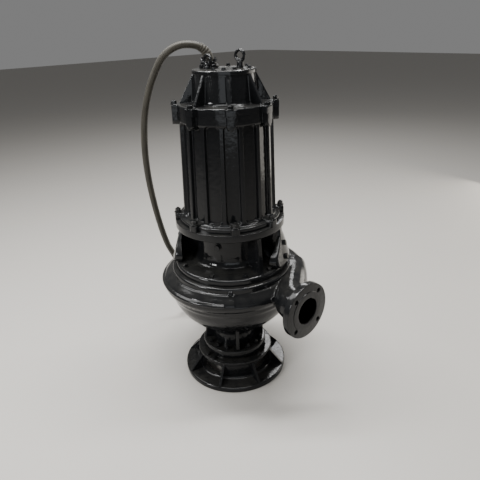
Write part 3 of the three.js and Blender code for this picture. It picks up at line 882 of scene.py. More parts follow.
@dataclass
class Cord:
    """Power cable: out of the boot, over to the side, down behind, and into a coil on the floor.

    Attributes:
        lead: Straight stretch out of the boot.
        middle_radius: Radius at the middle of the coil's turns.
        across: Turns side by side in one layer.
        turns_in: Turns of the lower layer, from the outside in.
        climb: Share of a turn on which the line climbs a layer.
        turns_out: Turns of the upper layer, from the inside out.
        layer: Rise of a layer, in diameters.
        lean: Vector that the path is never along.
        sleeves: Finishes of the cores at its cut end.
        core_root: How far a core starts inside the cable.
        core_spread: How far a core leans out at its end.
        route: Points of the free stretch in millimetres, after its lead out of the boot.
    """

    diameter: float = 0.026
    lead: float = 0.012
    middle_radius: float = 0.156
    across: int = 3
    turns_in: float = 3.0
    climb: float = 0.3
    turns_out: float = 2.55
    layer: float = 0.99
    step: float = 0.008
    sides: int = 18
    lean: Triple = (0.62, -0.66, 0.04)
    sleeves: tuple[MattePatches, ...] = (
        MattePatches("core_brown", (0.10, 0.035, 0.015, 1)),
        MattePatches("core_black", (0.012, 0.012, 0.012, 1)),
        MattePatches("core_grey", (0.22, 0.22, 0.21, 1)),
        MattePatches("core_green", (0.03, 0.16, 0.05, 1)),
    )
    core_length: float = 0.05
    core_radius: float = 0.0042
    core_circle: float = 0.0065
    core_root: float = 0.004
    core_spread: float = 0.006
    route: tuple[Triple, ...] = (
        (-101, -68, 1321), (-119, -95, 1320), (-143, -121, 1306), (-172, -140, 1279), (-201, -150, 1238),
        (-226, -161, 1190), (-249, -169, 1133), (-270, -174, 1066), (-286, -175, 988), (-302, -169, 899),
        (-318, -155, 801), (-334, -134, 705), (-349, -109, 610), (-364, -82, 525), (-378, -51, 447),
        (-388, -16, 381), (-401, 15, 320), (-416, 30, 259), (-427, 29, 200), (-429, 25, 145),
        (-434, 32, 96), (-450, 53, 54), (-473, 86, 26), (-496, 124, 15), (-519, 160, 13),
    )

    def free_stretch(self, exit_at: Array, along: Array) -> Array:
        """Middle line from the boot's head to the floor beside the coil."""
        points = [exit_at + along * SEAT_GAP, exit_at + along * self.lead]
        return spline(np.concatenate([points, np.array(self.route) / 1000]), 16)

    def coil(self, start: Array, along: Array) -> Array:
        """Middle line of the coil.

        The radius falls by one diameter a turn on the floor, stays while the line climbs a layer, and grows
        by one diameter a turn on top: radius = outer - diameter * turns, then inner + diameter * turns.

        Args:
            start: Where the free stretch ends.
            along: Its heading there.

        Returns:
            Points of the line, clockwise from above.
        """
        d = self.diameter
        outer = self.middle_radius + (self.across + 1) * d / 2
        side = np.array([along[1], -along[0]]) / np.hypot(along[0], along[1])
        centre = start[:2] + side * (outer + SEAT_GAP)
        turn = np.linspace(0, self.turns_in + self.climb + self.turns_out, 900)[1:]
        top = np.clip(turn - self.turns_in - self.climb, 0, None)
        radius = outer + SEAT_GAP - d * np.minimum(turn, self.turns_in) + d * top
        height = d / 2 + self.layer * d * ease((turn - self.turns_in) / self.climb)
        first = math.degrees(math.atan2(*(start[:2] - centre)[::-1]))
        return around(first - 360 * turn, radius, height) + np.append(centre, 0)

    def core(self, k: int, end: Array, ahead: Array) -> Skin:
        """One of the four cores, each longer than the last. It leans out by the square of its run.

        Args:
            k: Its number.
            end: The cable's end.
            ahead: Its direction there.

        Returns:
            The core.
        """
        across = np.cross(ahead, UP)
        up = np.cross(across, ahead)
        a = math.radians(45 + 90 * k)
        out = across * math.cos(a) + up * math.sin(a)
        t = np.linspace(0, 1, 12)[:, None]
        line = end - ahead * self.core_root + out * (self.core_circle + self.core_spread * t**2)
        return tube(line + ahead * (self.core_length * (0.8 + 0.1 * k)) * t, self.core_radius, 12, up)

    def build(self, exit_at: Array, along: Array) -> None:
        """Args:
            exit_at: Where the cable leaves the boot.
            along: Its direction there.
        """
        free = self.free_stretch(exit_at, along)
        path = evenly(np.concatenate([free, self.coil(free[-1], free[-1] - free[-2])]), self.step)
        skin = tube(path, self.diameter / 2, self.sides, self.lean)
        sheath = piece("power_cable_sheath", skin, ("power_cable", "cable_coil"), 60, Rubber())
        ahead = unit(path[-1] - path[-2])
        cores = [
            piece(sleeve.name, self.core(k, path[-1], ahead), (), 50, sleeve)
            for k, sleeve in enumerate(self.sleeves)
        ]


@dataclass
class Gland:
    """Cable gland on the lid: flange, follower, studs, and the curved boot that the cable leaves by.

    Attributes:
        discs: Piece, node, radius, bore and top edge of the flange and of the follower.
        heading: Where the boot bends to.
        groove_depth: Depth of the grooves round the boot.
        grooves: How many half waves of grooves it has.
        grooved: Shares of the boot between which they lie.
    """

    radius: float = 0.074
    angle: float = 186
    discs: tuple[tuple[str, str, float, float, float], ...] = (
        ("gland_plate", "gland_flange", 0.035, 0.02, 0.002),
        ("gland_ring", "gland_follower", 0.030, 0.01, 0.003),
    )
    heading: float = 246.5
    straight: float = 0.003
    bend_radius: float = 0.050
    bend: float = 67
    foot_radius: float = 0.019
    head_radius: float = 0.015
    groove_depth: float = 0.0009
    grooves: int = 12
    grooved: Pair = (0.1, 0.92)

    def centre(self) -> Array:
        """Middle of the gland on the lid, at height zero."""
        return around(self.angle, self.radius, 0.0)

    def boot_line(self, share: Array) -> Array:
        """Middle line of the boot: a short straight, then an arc towards its heading.

        Args:
            share: Shares of the arc.

        Returns:
            Its points.
        """
        foot = heights("gland_follower")[1] + SEAT_GAP + self.straight
        turn = np.radians(self.bend * share)
        aside = around(self.heading, 1.0, 0.0) * (self.bend_radius * (1 - np.cos(turn)))[:, None]
        return self.centre() + aside + (foot + self.bend_radius * np.sin(turn))[:, None] * UP

    def exit(self) -> tuple[Array, Array]:
        """Where the cable leaves the boot, and its direction there."""
        turn = math.radians(self.bend)
        return self.boot_line(np.array([1.0]))[0], around(self.heading, math.sin(turn), math.cos(turn))

    def build(self) -> None:
        """Make the flange, the follower and the boot."""
        for name, node, radius, bore, edge in self.discs:
            skin = disc(radius, heights(node), (0.001, edge), 48, bore)
            piece(name, skin.moved(self.centre()), (node,))
        share = np.linspace(0, 1, 61)
        line = self.boot_line(share)
        line = np.concatenate([line[:1] - [0, 0, self.straight], line])
        share = np.append(0, share)
        taper = self.foot_radius + (self.head_radius - self.foot_radius) * share
        wave = ease(np.sin(share * math.pi * self.grooves) * 0.5 + 0.5)
        first, last = self.grooved
        grooves = self.groove_depth * wave * (share > first) * (share < last)
        boot = tube(line, taper - grooves, 32, around(self.heading + 90, 1.0, 0.0))
        piece("rubber_boot", boot, ("cable_boot",), 60, Rubber("boot_rubber", long=False))


@dataclass(frozen=True)
class Fastener:
    """Hexagon nut or head on a washer, with a stud end through it.

    Attributes:
        flats: Width across the flats.
        head: Height of the nut or head.
        washer: Radius of the washer, or 0.
        stud: How far the stud end stands above the nut.
        thread: Pitch and depth of the stud's thread.
        chamfer: Radius of the head's top as a share of half its flats.
    """

    flats: float
    head: float
    washer: float = 0.0
    washer_height: float = 0.0022
    stud: float = 0.0
    stud_radius: float = 0.0055
    thread: Pair = (0.002, 0.0006)
    chamfer: float = 0.97

    def skin(self) -> Skin:
        """The fastener along +Z from its seat.

        The head's outline is half its flats over the cosine of the angle to the nearest flat, and its top
        corners are cut back to a circle. The stud's thread is a row of ridges.

        Returns:
            Its washer, head and stud.
        """
        base = self.washer_height if self.washer else 0.0
        angles = spaced(0, 24)
        flat = self.flats / 2 / np.cos(np.radians(off_angle(angles, 0, 60)))
        circle = np.full(24, self.flats / 2 * self.chamfer)
        top = base + self.head
        cut = np.minimum(flat, circle * 1.06)
        rows = [(flat, base), (flat, top - 0.0012), (cut, top - 0.0004), (circle, top)]
        parts = [capped(np.stack([around(angles, r, z) for r, z in rows]))]
        if self.washer:
            parts.append(disc(self.washer, (0, base), (0, 0.0006), 24, 0.002))
        if self.stud:
            pitch, depth = self.thread
            ridges = max(2, int(self.stud / pitch))
            z = top + np.linspace(0, self.stud, 2 * ridges + 1)
            r = self.stud_radius - depth * (np.arange(len(z)) % 2)
            stud = np.stack([np.append(self.stud_radius, r), np.append(top - 0.001, z)], -1)
            parts.append(capped(turned_rows(spaced(0, 12), stud)))
        return joined(parts)

    def set_at(self, places: Array, axes: Array | Triple = UP) -> Skin:
        """Copies of the fastener, spun at random: its points turned by a frame of two axes and the given one.

        Args:
            places: Where they stand.
            axes: Which way they point.

        Returns:
            The copies as one surface.
        """
        one = self.skin()
        places = np.atleast_2d(places)
        axes = unit(np.broadcast_to(axes, places.shape))
        aside = np.where(np.abs(axes[:, 2:]) > 0.9, [[1.0, 0, 0]], [[0, 0, 1.0]])
        first = unit(np.cross(axes, aside))
        spin = RANDOM.uniform(0, math.pi / 3, len(places))[:, None]
        u = first * np.cos(spin) + np.cross(axes, first) * np.sin(spin)
        frames = np.stack([u, np.cross(axes, u), axes], 1)
        points = np.einsum("pk,nkc->npc", one.points, frames) + places[:, None]
        shift = (np.arange(len(places)) * len(one.points))[:, None, None]
        return Skin(points.reshape(-1, 3), (one.faces[None] + shift).reshape(-1, 4))


@dataclass
class Lid:
    """Lid plate with its screws and the two lifting eyes.

    Attributes:
        groove: Height and depth of the step round the plate's top.
        eyes: Name, angle, facing and collar height of each eye.
        overlap: How deep a ring sinks into its collar.
        swelling: How much a ring's bar thickens towards its collar.
    """

    radius: float = 0.114
    groove: float = 0.003
    dust: float = 0.3
    eyes: tuple[tuple[str, float, float, float], ...] = (("left", 231, 0, 0.009), ("right", 51, 14, 0.022))
    eye_radius: float = 0.057
    collar_radius: float = 0.012
    ring_radius: float = 0.0175
    bar_radius: float = 0.0055
    overlap: float = 0.004
    swelling: float = 0.22
    screw: Fastener = Fastener(0.013, 0.008, washer=0.0095, washer_height=0.0016)
    screw_angles: tuple[float, ...] = (-62.0, -42, -20, 25, 80, 105, 130, 155)
    screw_circle: float = 0.098
    gland_stud: Fastener = Fastener(0.012, 0.008, stud=0.006, stud_radius=0.004)
    gland_circle: float = 0.026

    def eye(self, angle: float, facing: float, h: float) -> Skin:
        """One lifting eye: a collar, and a ring whose bar thickens towards the collar.

        The ring is a circle carried round a circle, its section's radius 1 + swelling * (how far down it is).

        Args:
            angle: Where it stands.
            facing: Which way its ring faces.
            h: Height of its collar.

        Returns:
            The collar and the ring.
        """
        r = self.collar_radius
        collar = lathe([(PIN_BORE, 0, 0), (r, 0, 0.0005), (r, h, 0.003), (PIN_BORE, h + 0.001, 0)], 32)
        t, s = np.radians(spaced(0, 56))[:, None], np.radians(spaced(0, 20))[None, :]
        bar = self.bar_radius * (1 + self.swelling * np.clip(-np.sin(t) - 0.3, 0, 1))
        out = self.ring_radius + bar * np.cos(s)
        grid = np.stack(np.broadcast_arrays(out * np.cos(t), -bar * np.sin(s), out * np.sin(t)), -1)
        centre = h + self.ring_radius + self.bar_radius - self.overlap
        ring = knit(grid, ring_rows=True).moved((0, 0, centre)).turned(facing)
        return joined([collar, ring]).moved(around(angle, self.eye_radius, heights("lid")[1] + SEAT_GAP))

    def build(self) -> None:
        """Make the lid, its screws, its eyes and the gland's studs."""
        low, high = heights("lid")
        r, g = self.radius, self.groove
        steps = [(r, low, 0.001), (r, high - g, 0.001), (r - g, high, 0.001)]
        plate = lathe([(0.01, low, 0), *steps, (0.01, high, 0)])
        piece("lid_plate", plate, ("lid",), finish=Enamel("dusty_black_enamel", dusty=self.dust))
        for name, angle, facing, height in self.eyes:
            eye = self.eye(angle, facing, height)
            piece(f"lifting_ring_{name}", eye, (f"lifting_eye_{name}",), 45)
        screws = self.screw.set_at(around(np.array(self.screw_angles), self.screw_circle, high))
        gland = Gland()
        ring = around(spaced(20.0, 4) + gland.angle, self.gland_circle, heights("gland_follower")[1])
        studs = self.gland_stud.set_at(gland.centre() + ring)
        fasteners("lid_and_gland_bolts", screws, studs)


@dataclass
class RibbedCover:
    """Top cover: a flange with eight ears, a tapered drum and eight ribs down its side.

    The surface is a distance from a point on the shaft at the joint's height, along rays that rise from level
    to nearly upright. A rib or an ear ends that ray at its own outline or at its side plane, whichever is
    nearer, and the drum, ribs and ears meet in fillets.

    Attributes:
        rib_draft: How much a rib widens inwards.
        rib_fillets: Reach of the rounding of a rib's edges, and of its fillet with the drum.
        ear_draft: How much an ear widens inwards.
        ear_fillets: The same two of an ear.
    """

    band_radius: float = 0.174
    flange_height: float = 0.025
    drum_foot: float = 0.112
    drum_top: float = 0.106
    rib_thickness: float = 0.009
    rib_head: float = 0.112
    rib_foot: float = 0.163
    rib_draft: float = 0.035
    rib_fillets: Pair = (0.004, 0.006)
    ear_reach: float = 0.194
    ear_width: float = 0.034
    ear_draft: float = 0.05
    ear_fillets: Pair = (0.006, 0.005)
    count: int = 8
    start: float = -36
    bolt: Fastener = Fastener(0.018, 0.010, washer=0.0135, stud=0.003)
    bolt_circle: float = 0.184

    def reach(self, outline: Sequence[Pair], slope: Array) -> Array:
        """Read the distance along rays to an outline that rises in slope.

        Args:
            outline: Radii and heights.
            slope: Slopes of the rays.

        Returns:
            The distances, 0 above the outline's end.
        """
        corner = np.array(outline)
        r, z = along_sides(corner, np.linspace(0, 1, 60)).T
        inside = np.interp(slope, np.degrees(np.arctan2(z, r)), np.hypot(r, z))
        return np.where(slope > np.degrees(np.arctan2(corner[-1, 1], corner[-1, 0])), 0.0, inside)

    def skin(self, low: float, top: float) -> Skin:
        """The whole cover.

        Args:
            low: Height of the joint.
            top: Height of the lid's seat.

        Returns:
            The closed surface.
        """
        height, flange = top - low, self.flange_height
        pitch = 360 / self.count
        half_ear = math.degrees(self.ear_width / 2 / self.ear_reach)
        rib_out = math.degrees(self.rib_thickness / 2 / self.rib_foot)
        rib_in = math.degrees(self.rib_thickness / 2 / self.drum_top)
        spots = [s * a for s in (-1, 1) for a in (rib_out, (rib_out + rib_in) / 2, rib_in, half_ear)]
        angles = repeated(self.start, self.count, graded(-pitch / 2, pitch / 2, spots, 0.16, 1.1, 0.55)[:-1])
        lip = math.degrees(math.atan2(flange, self.band_radius))
        foot = math.degrees(math.atan2(flange, self.drum_foot))
        head = math.degrees(math.atan2(height, self.drum_top))
        slope = graded(0, head, [lip, 0.5 * (lip + foot), foot, head], 0.16, 1.1, 2.2)[:, None]
        foot_fillet = (self.drum_foot + 0.004, flange + 0.001, 0.012)
        band = [(self.band_radius, 0, 0), (self.band_radius, flange, 0.005)]
        body = rounded([*band, foot_fillet, (self.drum_top + 0.002, height, 0)])
        foot_chamfer = [(self.rib_foot, flange + 0.002), (self.rib_foot - 0.001, flange + 0.007)]
        rib = [(self.rib_foot, 0.0), *foot_chamfer, (self.rib_head, height)]
        ear = rounded([(self.ear_reach, 0, 0), (self.ear_reach, flange, 0.005), (0.12, flange + 0.0015, 0)])
        level = np.cos(np.radians(slope))
        side = steepness(off_angle(angles, self.start, pitch))[None, :]
        rib_side = (self.rib_thickness / 2 + self.rib_draft * self.rib_foot) / (side + self.rib_draft) / level
        ear_side = (self.ear_width / 2 + self.ear_draft * self.ear_reach) / (side + self.ear_draft) / level
        ribs = smooth_low(self.reach(rib, slope), rib_side, self.rib_fillets[0])
        ears = smooth_low(self.reach(ear, slope), ear_side, self.ear_fillets[0])
        far = smooth_high(self.reach(body, slope), ears, self.ear_fillets[1])
        far = smooth_high(far, ribs, self.rib_fillets[1])
        rise = np.radians(slope)
        grid = around(angles[None, :], far * np.cos(rise), low + far * np.sin(rise))
        grid[-1, :, 2] = top
        return capped(grid)

    def build(self) -> None:
        """Make the cover and the bolts through its ears."""
        low, top = heights("top_cover")
        piece("ribbed_top_cover", self.skin(low, top), ("top_cover",), 75)
        places = around(spaced(self.start, self.count), self.bolt_circle, low + self.flange_height - SUNK)
        fasteners("top_cover_bolts", self.bolt.set_at(places))


@dataclass
class MotorFrame:
    """Motor frame: barrel with sunk panels between sixteen fins, and a foot flange and a top band with lugs.

    The surface is a radius over angle and height. The barrel's own radius comes from a profile, each sunk
    panel takes a depth away inside a rectangle with round corners, and each lug adds its reach inside its
    outline. The change between inside and outside is an eased step a few millimetres wide.

    Attributes:
        ledge: Height of the foot's fillet under the fins.
        depth: Depth of a panel.
        crown: How much less deep it is at its sides than at its middle.
        lug_drop: How far the top lugs hang down.
        lug_round: Radius of their corners.
        step: Width of the eased step.
    """

    foot_radius: float = 0.196
    foot_top: float = 0.017
    ledge: float = 0.030
    fin_foot: float = 0.179
    fin_head: float = 0.172
    depth: float = 0.013
    crown: float = 0.0012
    fins: int = 16
    fin_width: float = 0.0125
    band_radius: float = 0.174
    band_height: float = 0.031
    panel_round: float = 0.016
    lugs: int = 8
    lug_start: float = -36
    lug_reach: float = 0.194
    lug_width: float = 0.034
    lug_drop: float = 0.050
    lug_round: float = 0.0165
    foot_lug_reach: float = 0.212
    foot_lug_width: float = 0.038
    foot_lug_top: float = 0.027
    foot_lug_round: float = 0.004
    step: float = 0.0042
    nut: Fastener = Fastener(0.019, 0.012, washer=0.0145, stud=0.004, stud_radius=0.006)
    nut_circle: float = 0.200

    def skin(self, low: float, top: float) -> Skin:
        """The whole frame.

        Args:
            low: Height of its foot.
            top: Height of its joint with the cover.

        Returns:
            The closed surface.
        """
        pitch, lug_pitch = 360 / self.fins, 360 / self.lugs
        half_fin = math.degrees(self.fin_width / 2 / self.fin_foot)
        lug_edge = math.degrees(self.lug_width / 2 / self.lug_reach)
        foot_edge = math.degrees(self.foot_lug_width / 2 / self.foot_lug_reach)
        fin_edges = (pitch / 2 - half_fin - 0.5, pitch / 2 + half_fin + 0.5)
        spots = [s * a for s in (-1, 1) for a in (*fin_edges, lug_edge, foot_edge)]
        sector = graded(-lug_pitch / 2, lug_pitch / 2, spots, 0.24, 1.6, 0.95)[:-1]
        angles = repeated(self.lug_start, self.lugs, sector)[None, :]
        ledge, band, foot = low + self.ledge, top - self.band_height, low + self.foot_top
        marks = [foot, low + self.foot_lug_top, ledge, band, top - self.lug_drop + 0.005]
        z = graded(low, top, marks, 0.0013, 0.018, 0.011)[:, None]
        flange = [(self.foot_radius, low, 0), (self.foot_radius, foot, 0.004)]
        flange_fillet = [(self.fin_foot + 0.002, foot + 0.003, 0.006), (self.fin_foot, ledge, 0.006)]
        head = [(self.fin_head, band - 0.004, 0.004), (self.band_radius, band, 0.003)]
        profile = rounded([*flange, *flange_fillet, *head, (self.band_radius, top, 0)])
        radius = radius_at(profile, z)
        across = np.radians(off_angle(angles, self.lug_start, pitch)) * self.fin_foot
        half_panel = math.radians(pitch / 2) * self.fin_foot - self.fin_width / 2
        panel_low, panel_high = ledge - 0.006, band - 0.001
        middle, half_height = (panel_low + panel_high) / 2, (panel_high - panel_low) / 2
        panel = round_box(across, z - middle, half_panel, half_height, self.panel_round)
        crown = np.clip(self.crown * (1 - (across / half_panel) ** 2), 0, None)
        radius = radius - (self.depth + crown) * ease(-panel / self.step)
        side = np.radians(off_angle(angles, self.lug_start, lug_pitch))
        head_lug, foot_lug = (self.lug_reach, self.lug_width), (self.foot_lug_reach, self.foot_lug_width)
        radius = self.lug(radius, side, z, head_lug, (top - self.lug_drop, top + 0.05), self.lug_round)
        foot_span = (low - 0.05, low + self.foot_lug_top)
        radius = self.lug(radius, side, z, foot_lug, foot_span, self.foot_lug_round)
        return capped(around(angles, radius, z))

    def lug(self, radius: Array, side: Array, z: Array, size: Pair, span: Pair, corner: float) -> Array:
        """Raise lugs on a radius field, each with a rectangle with round corners as its outline.

        Args:
            radius: The field.
            side: Angle off the nearest lug's middle, in radians.
            z: Heights.
            size: Outer radius and width of a lug.
            span: Its lower and upper end.
            corner: Radius of its corners.

        Returns:
            The field with the lugs.
        """
        (reach, width), (low, high) = size, span
        outline = round_box(side * reach, z - (low + high) / 2, width / 2, (high - low) / 2, corner)
        return radius + np.maximum(reach - radius, 0) * ease(-outline / self.step)

    def build(self) -> None:
        """Make the frame and the nuts on its foot lugs."""
        low, top = heights("motor_frame")
        piece("finned_motor_frame", self.skin(low, top), ("motor_frame",), 75)
        places = around(spaced(self.lug_start, self.lugs), self.nut_circle, low + self.foot_lug_top - SUNK)
        fasteners("motor_foot_nuts", self.nut.set_at(places))


@dataclass
class Lantern:
    """Lantern between the volute and the motor: flanges, oil chamber, webs and side plates.

    The recess between the flanges is a length along rays that point inwards from a ring outside it. A web
    ends a ray at its slanted edge or at its side plane, whichever is deeper, and wall and webs meet in
    fillets.

    Attributes:
        foot_curve: Fillet between the lower flange and the chamber.
        web_fillets: Reach of the rounding of a web's edges, and of its fillet with the chamber.
        plated_webs: Numbers of the webs that wear a side plate.
        plate_inset: How far a plate's inner face lies inside its web's edge.
        plate_edge: Radius of a plate's rounded edge.
        plate_draw: How far a plate's loops draw in at its foot and head.
        plate_half: Heights and half widths of a plate.
        plate_face: Radii and heights of a plate's outer face.
        plate_bolts_at: Angles off the web and heights of a plate's bolts.
        ring: Radius and height of the ring that the rays start from.
    """

    bottom: float = 0.4913
    flange_radius: float = 0.222
    adapter_radius: float = 0.212
    chamber_radius: float = 0.134
    foot_curve: float = 0.064
    web_angles: tuple[float, ...] = (-10, 35, 170, 215)
    web_thickness: float = 0.015
    web_fillets: Pair = (0.004, 0.014)
    web_foot: float = 0.214
    web_head: float = 0.200
    plated_webs: tuple[int, int] = (1, 3)
    plate_inset: float = 0.009
    plate_edge: float = 0.006
    plate_draw: float = 0.0026
    plate_half: tuple[Pair, ...] = (
        (0.516, 0.098), (0.526, 0.105), (0.534, 0.108), (0.547, 0.108), (0.560, 0.100), (0.571, 0.088),
        (0.586, 0.068), (0.601, 0.051), (0.620, 0.029), (0.640, 0.026), (0.661, 0.026),
    )
    plate_face: tuple[Pair, ...] = ((0.229, 0.5163), (0.234, 0.522), (0.205, 0.622), (0.200, 0.6607))
    plate_bolt: Fastener = Fastener(0.019, 0.010)
    plate_bolts_at: tuple[Pair, ...] = ((-9.4, 0.5416), (-3.7, 0.588))
    ring: Pair = (0.242, 0.590)
    plug: Fastener = Fastener(0.021, 0.009, washer=0.015, washer_height=0.003)
    plug_angle: float = -63
    plug_height: float = 0.607
    flange_bolt: Fastener = Fastener(0.017, 0.010, washer=0.0135)
    flange_bolts: tuple[float, ...] = (-104, -63, -27, 2.5, 76, 117, 153, 182.5)
    bolt_circle: float = 0.203

    def levels(self) -> tuple[float, float, float, float]:
        """Heights of the lower flange's underside and top, and of the adapter flange's underside and top."""
        low, high = heights("side_plate_left")
        return self.bottom, low - SEAT_GAP, high + SEAT_GAP, heights("lantern")[1]

    def web_reach(self, z: Array) -> Array:
        """How far a web reaches at a height, on a straight slope between the flanges."""
        _, low, high, _ = self.levels()
        return self.web_foot + (self.web_head - self.web_foot) * (z - low) / (high - low)

    def columns(self) -> Array:
        """Work out the angles around, packed where the webs' sides lie and even between them.

        Returns:
            The angles, in order.
        """
        inner = (self.chamber_radius - 0.008, self.web_foot - 0.012, 20)
        near = fin_columns(self.web_thickness / 2, inner, (self.web_foot - 0.006, self.web_foot + 0.06, 9))
        webs = np.array(self.web_angles, float)
        edge = near.max() + 1
        after = np.append(webs[1:], webs[0] + 360)
        between = [np.arange(a + edge, b - edge, 2.2) for a, b in zip(webs, after)]
        return np.sort(np.concatenate([(webs[:, None] + near).ravel(), *between]))

    def skin(self) -> Skin:
        """The casting from the lower flange to the adapter flange.

        Returns:
            The closed surface.
        """
        bottom, low, high, top = self.levels()
        fr, ar, wall = self.flange_radius, self.adapter_radius, self.chamber_radius
        lip, foot, head = (fr - 0.006, low, 0), (wall, low, self.foot_curve), (wall, high, 0.012)
        outline = [lip, foot, head, (ar - 0.002, high, 0)]
        recess = Recess(self.ring, outline, steps=10, between=8, every=12, fine=1.3)
        rise, far = recess.rays()
        angles = self.columns()
        away = off_angle(angles[None, :, None], np.array(self.web_angles), 360)
        plated = np.isin(np.abs(away).argmin(-1), self.plated_webs)
        inset = np.where(plated, self.plate_inset + 0.0009, 0.0)
        tilt = (self.web_head - self.web_foot) / (high - low)
        edge = recess.to_edge(rise, tilt, self.web_foot - tilt * low - inset)
        side = recess.to_side(rise, np.abs(away).min(-1), self.web_thickness / 2)
        web = smooth_high(edge, side, self.web_fillets[0])
        length = smooth_low(np.broadcast_to(far, web.shape), web, self.web_fillets[1])
        below = rounded([(0.19, bottom, 0), (fr, bottom, 0.0025), (fr, low - 0.006, 0.003), lip])
        above = rounded([(ar - 0.002, high, 0), (ar, high + 0.002, 0.002), (ar, top, 0.002), (0.19, top, 0)])
        return capped(recess.casting(angles, rise, length, below, above))

    def face_radius(self, z: Array) -> Array:
        """Radius of the side plates' outer face at a height: it flares out to the foot."""
        radius, height = np.array(self.plate_face).T
        return np.interp(z, height, radius)

    def plate(self, web: int) -> Skin:
        """Side plate on a web: a piece of a flared ring with a bell's outline, its edges rounded over.

        Each level is a loop: along the outer face from side to side, where the face drops back by
        e - sqrt(e^2 - t^2) within e of a side, and back along the inner face. The loops draw in at both ends.

        Args:
            web: Number of the web.

        Returns:
            The closed plate.
        """
        low, high, edge = self.plate_face[0][1], self.plate_face[-1][1], self.plate_edge
        ends = np.array([0.0, 0.0004, 0.0012, 0.0026, 0.0050, 0.0080])
        z = np.concatenate([low + ends, np.linspace(low + 0.011, high - 0.011, 44), high - ends[::-1]])
        drawn = np.clip(self.plate_draw - np.minimum(z - low, high - z), 0, None)
        height, wide = np.array(self.plate_half).T
        bell = np.interp(z[:, None] + np.linspace(-0.004, 0.004, 9), height, wide).mean(1)
        half = (bell - drawn)[:, None]
        across = half * np.sin(np.linspace(-1, 1, 45)[None, :] * math.pi / 2)
        t = np.clip(np.abs(across) - (half - edge), 0, edge)
        outer = (self.face_radius(z) - drawn)[:, None] - (edge - np.sqrt(edge**2 - t**2))
        inner = (self.web_reach(z) - self.plate_inset + 0.3 * drawn)[:, None]
        back = -half * np.linspace(-1, 1, 15)[None, :]
        loop = np.concatenate([np.sqrt(outer**2 - across**2), np.sqrt(inner**2 - back**2)], 1)
        aside = np.concatenate([across, back], 1)
        level = np.broadcast_to(z[:, None], aside.shape)
        return capped(np.stack([loop, aside, level], -1)).turned(self.web_angles[web])

    def plate_bolts(self) -> Skin:
        """Set two bolts on each side plate, square to its sloping face.

        Returns:
            The bolts.
        """
        aside, up = np.array(self.plate_bolts_at).T
        (r1, z1), (r2, z2) = self.plate_face[1:3]
        angles = (np.array(self.web_angles)[list(self.plated_webs)][:, None] + aside).ravel()
        up = np.tile(up, len(self.plated_webs))
        out = around(angles, 1.0, (r1 - r2) / (z2 - z1))
        return self.plate_bolt.set_at(around(angles, self.face_radius(up), up) - out * 0.0008, out)

    def build(self) -> None:
        """Make the lantern, its side plates, its oil plug and its bolts."""
        piece("lantern_casting", self.skin(), ("lantern",), 60)
        for name, web in zip(("right", "left"), self.plated_webs):
            piece(f"web_plate_{name}", self.plate(web), (f"side_plate_{name}",), 50)
        out = around(self.plug_angle, 1.0, 0.0)
        place = out * (self.chamber_radius + SEAT_GAP) + np.array([0, 0, self.plug_height])
        piece("oil_chamber_plug", self.plug.set_at(place, out), ("oil_plug",), BOLT_CREASE)
        places = around(np.array(self.flange_bolts), self.bolt_circle, self.levels()[1] - SUNK)
        fasteners("lantern_bolts", self.flange_bolt.set_at(places), self.plate_bolts())


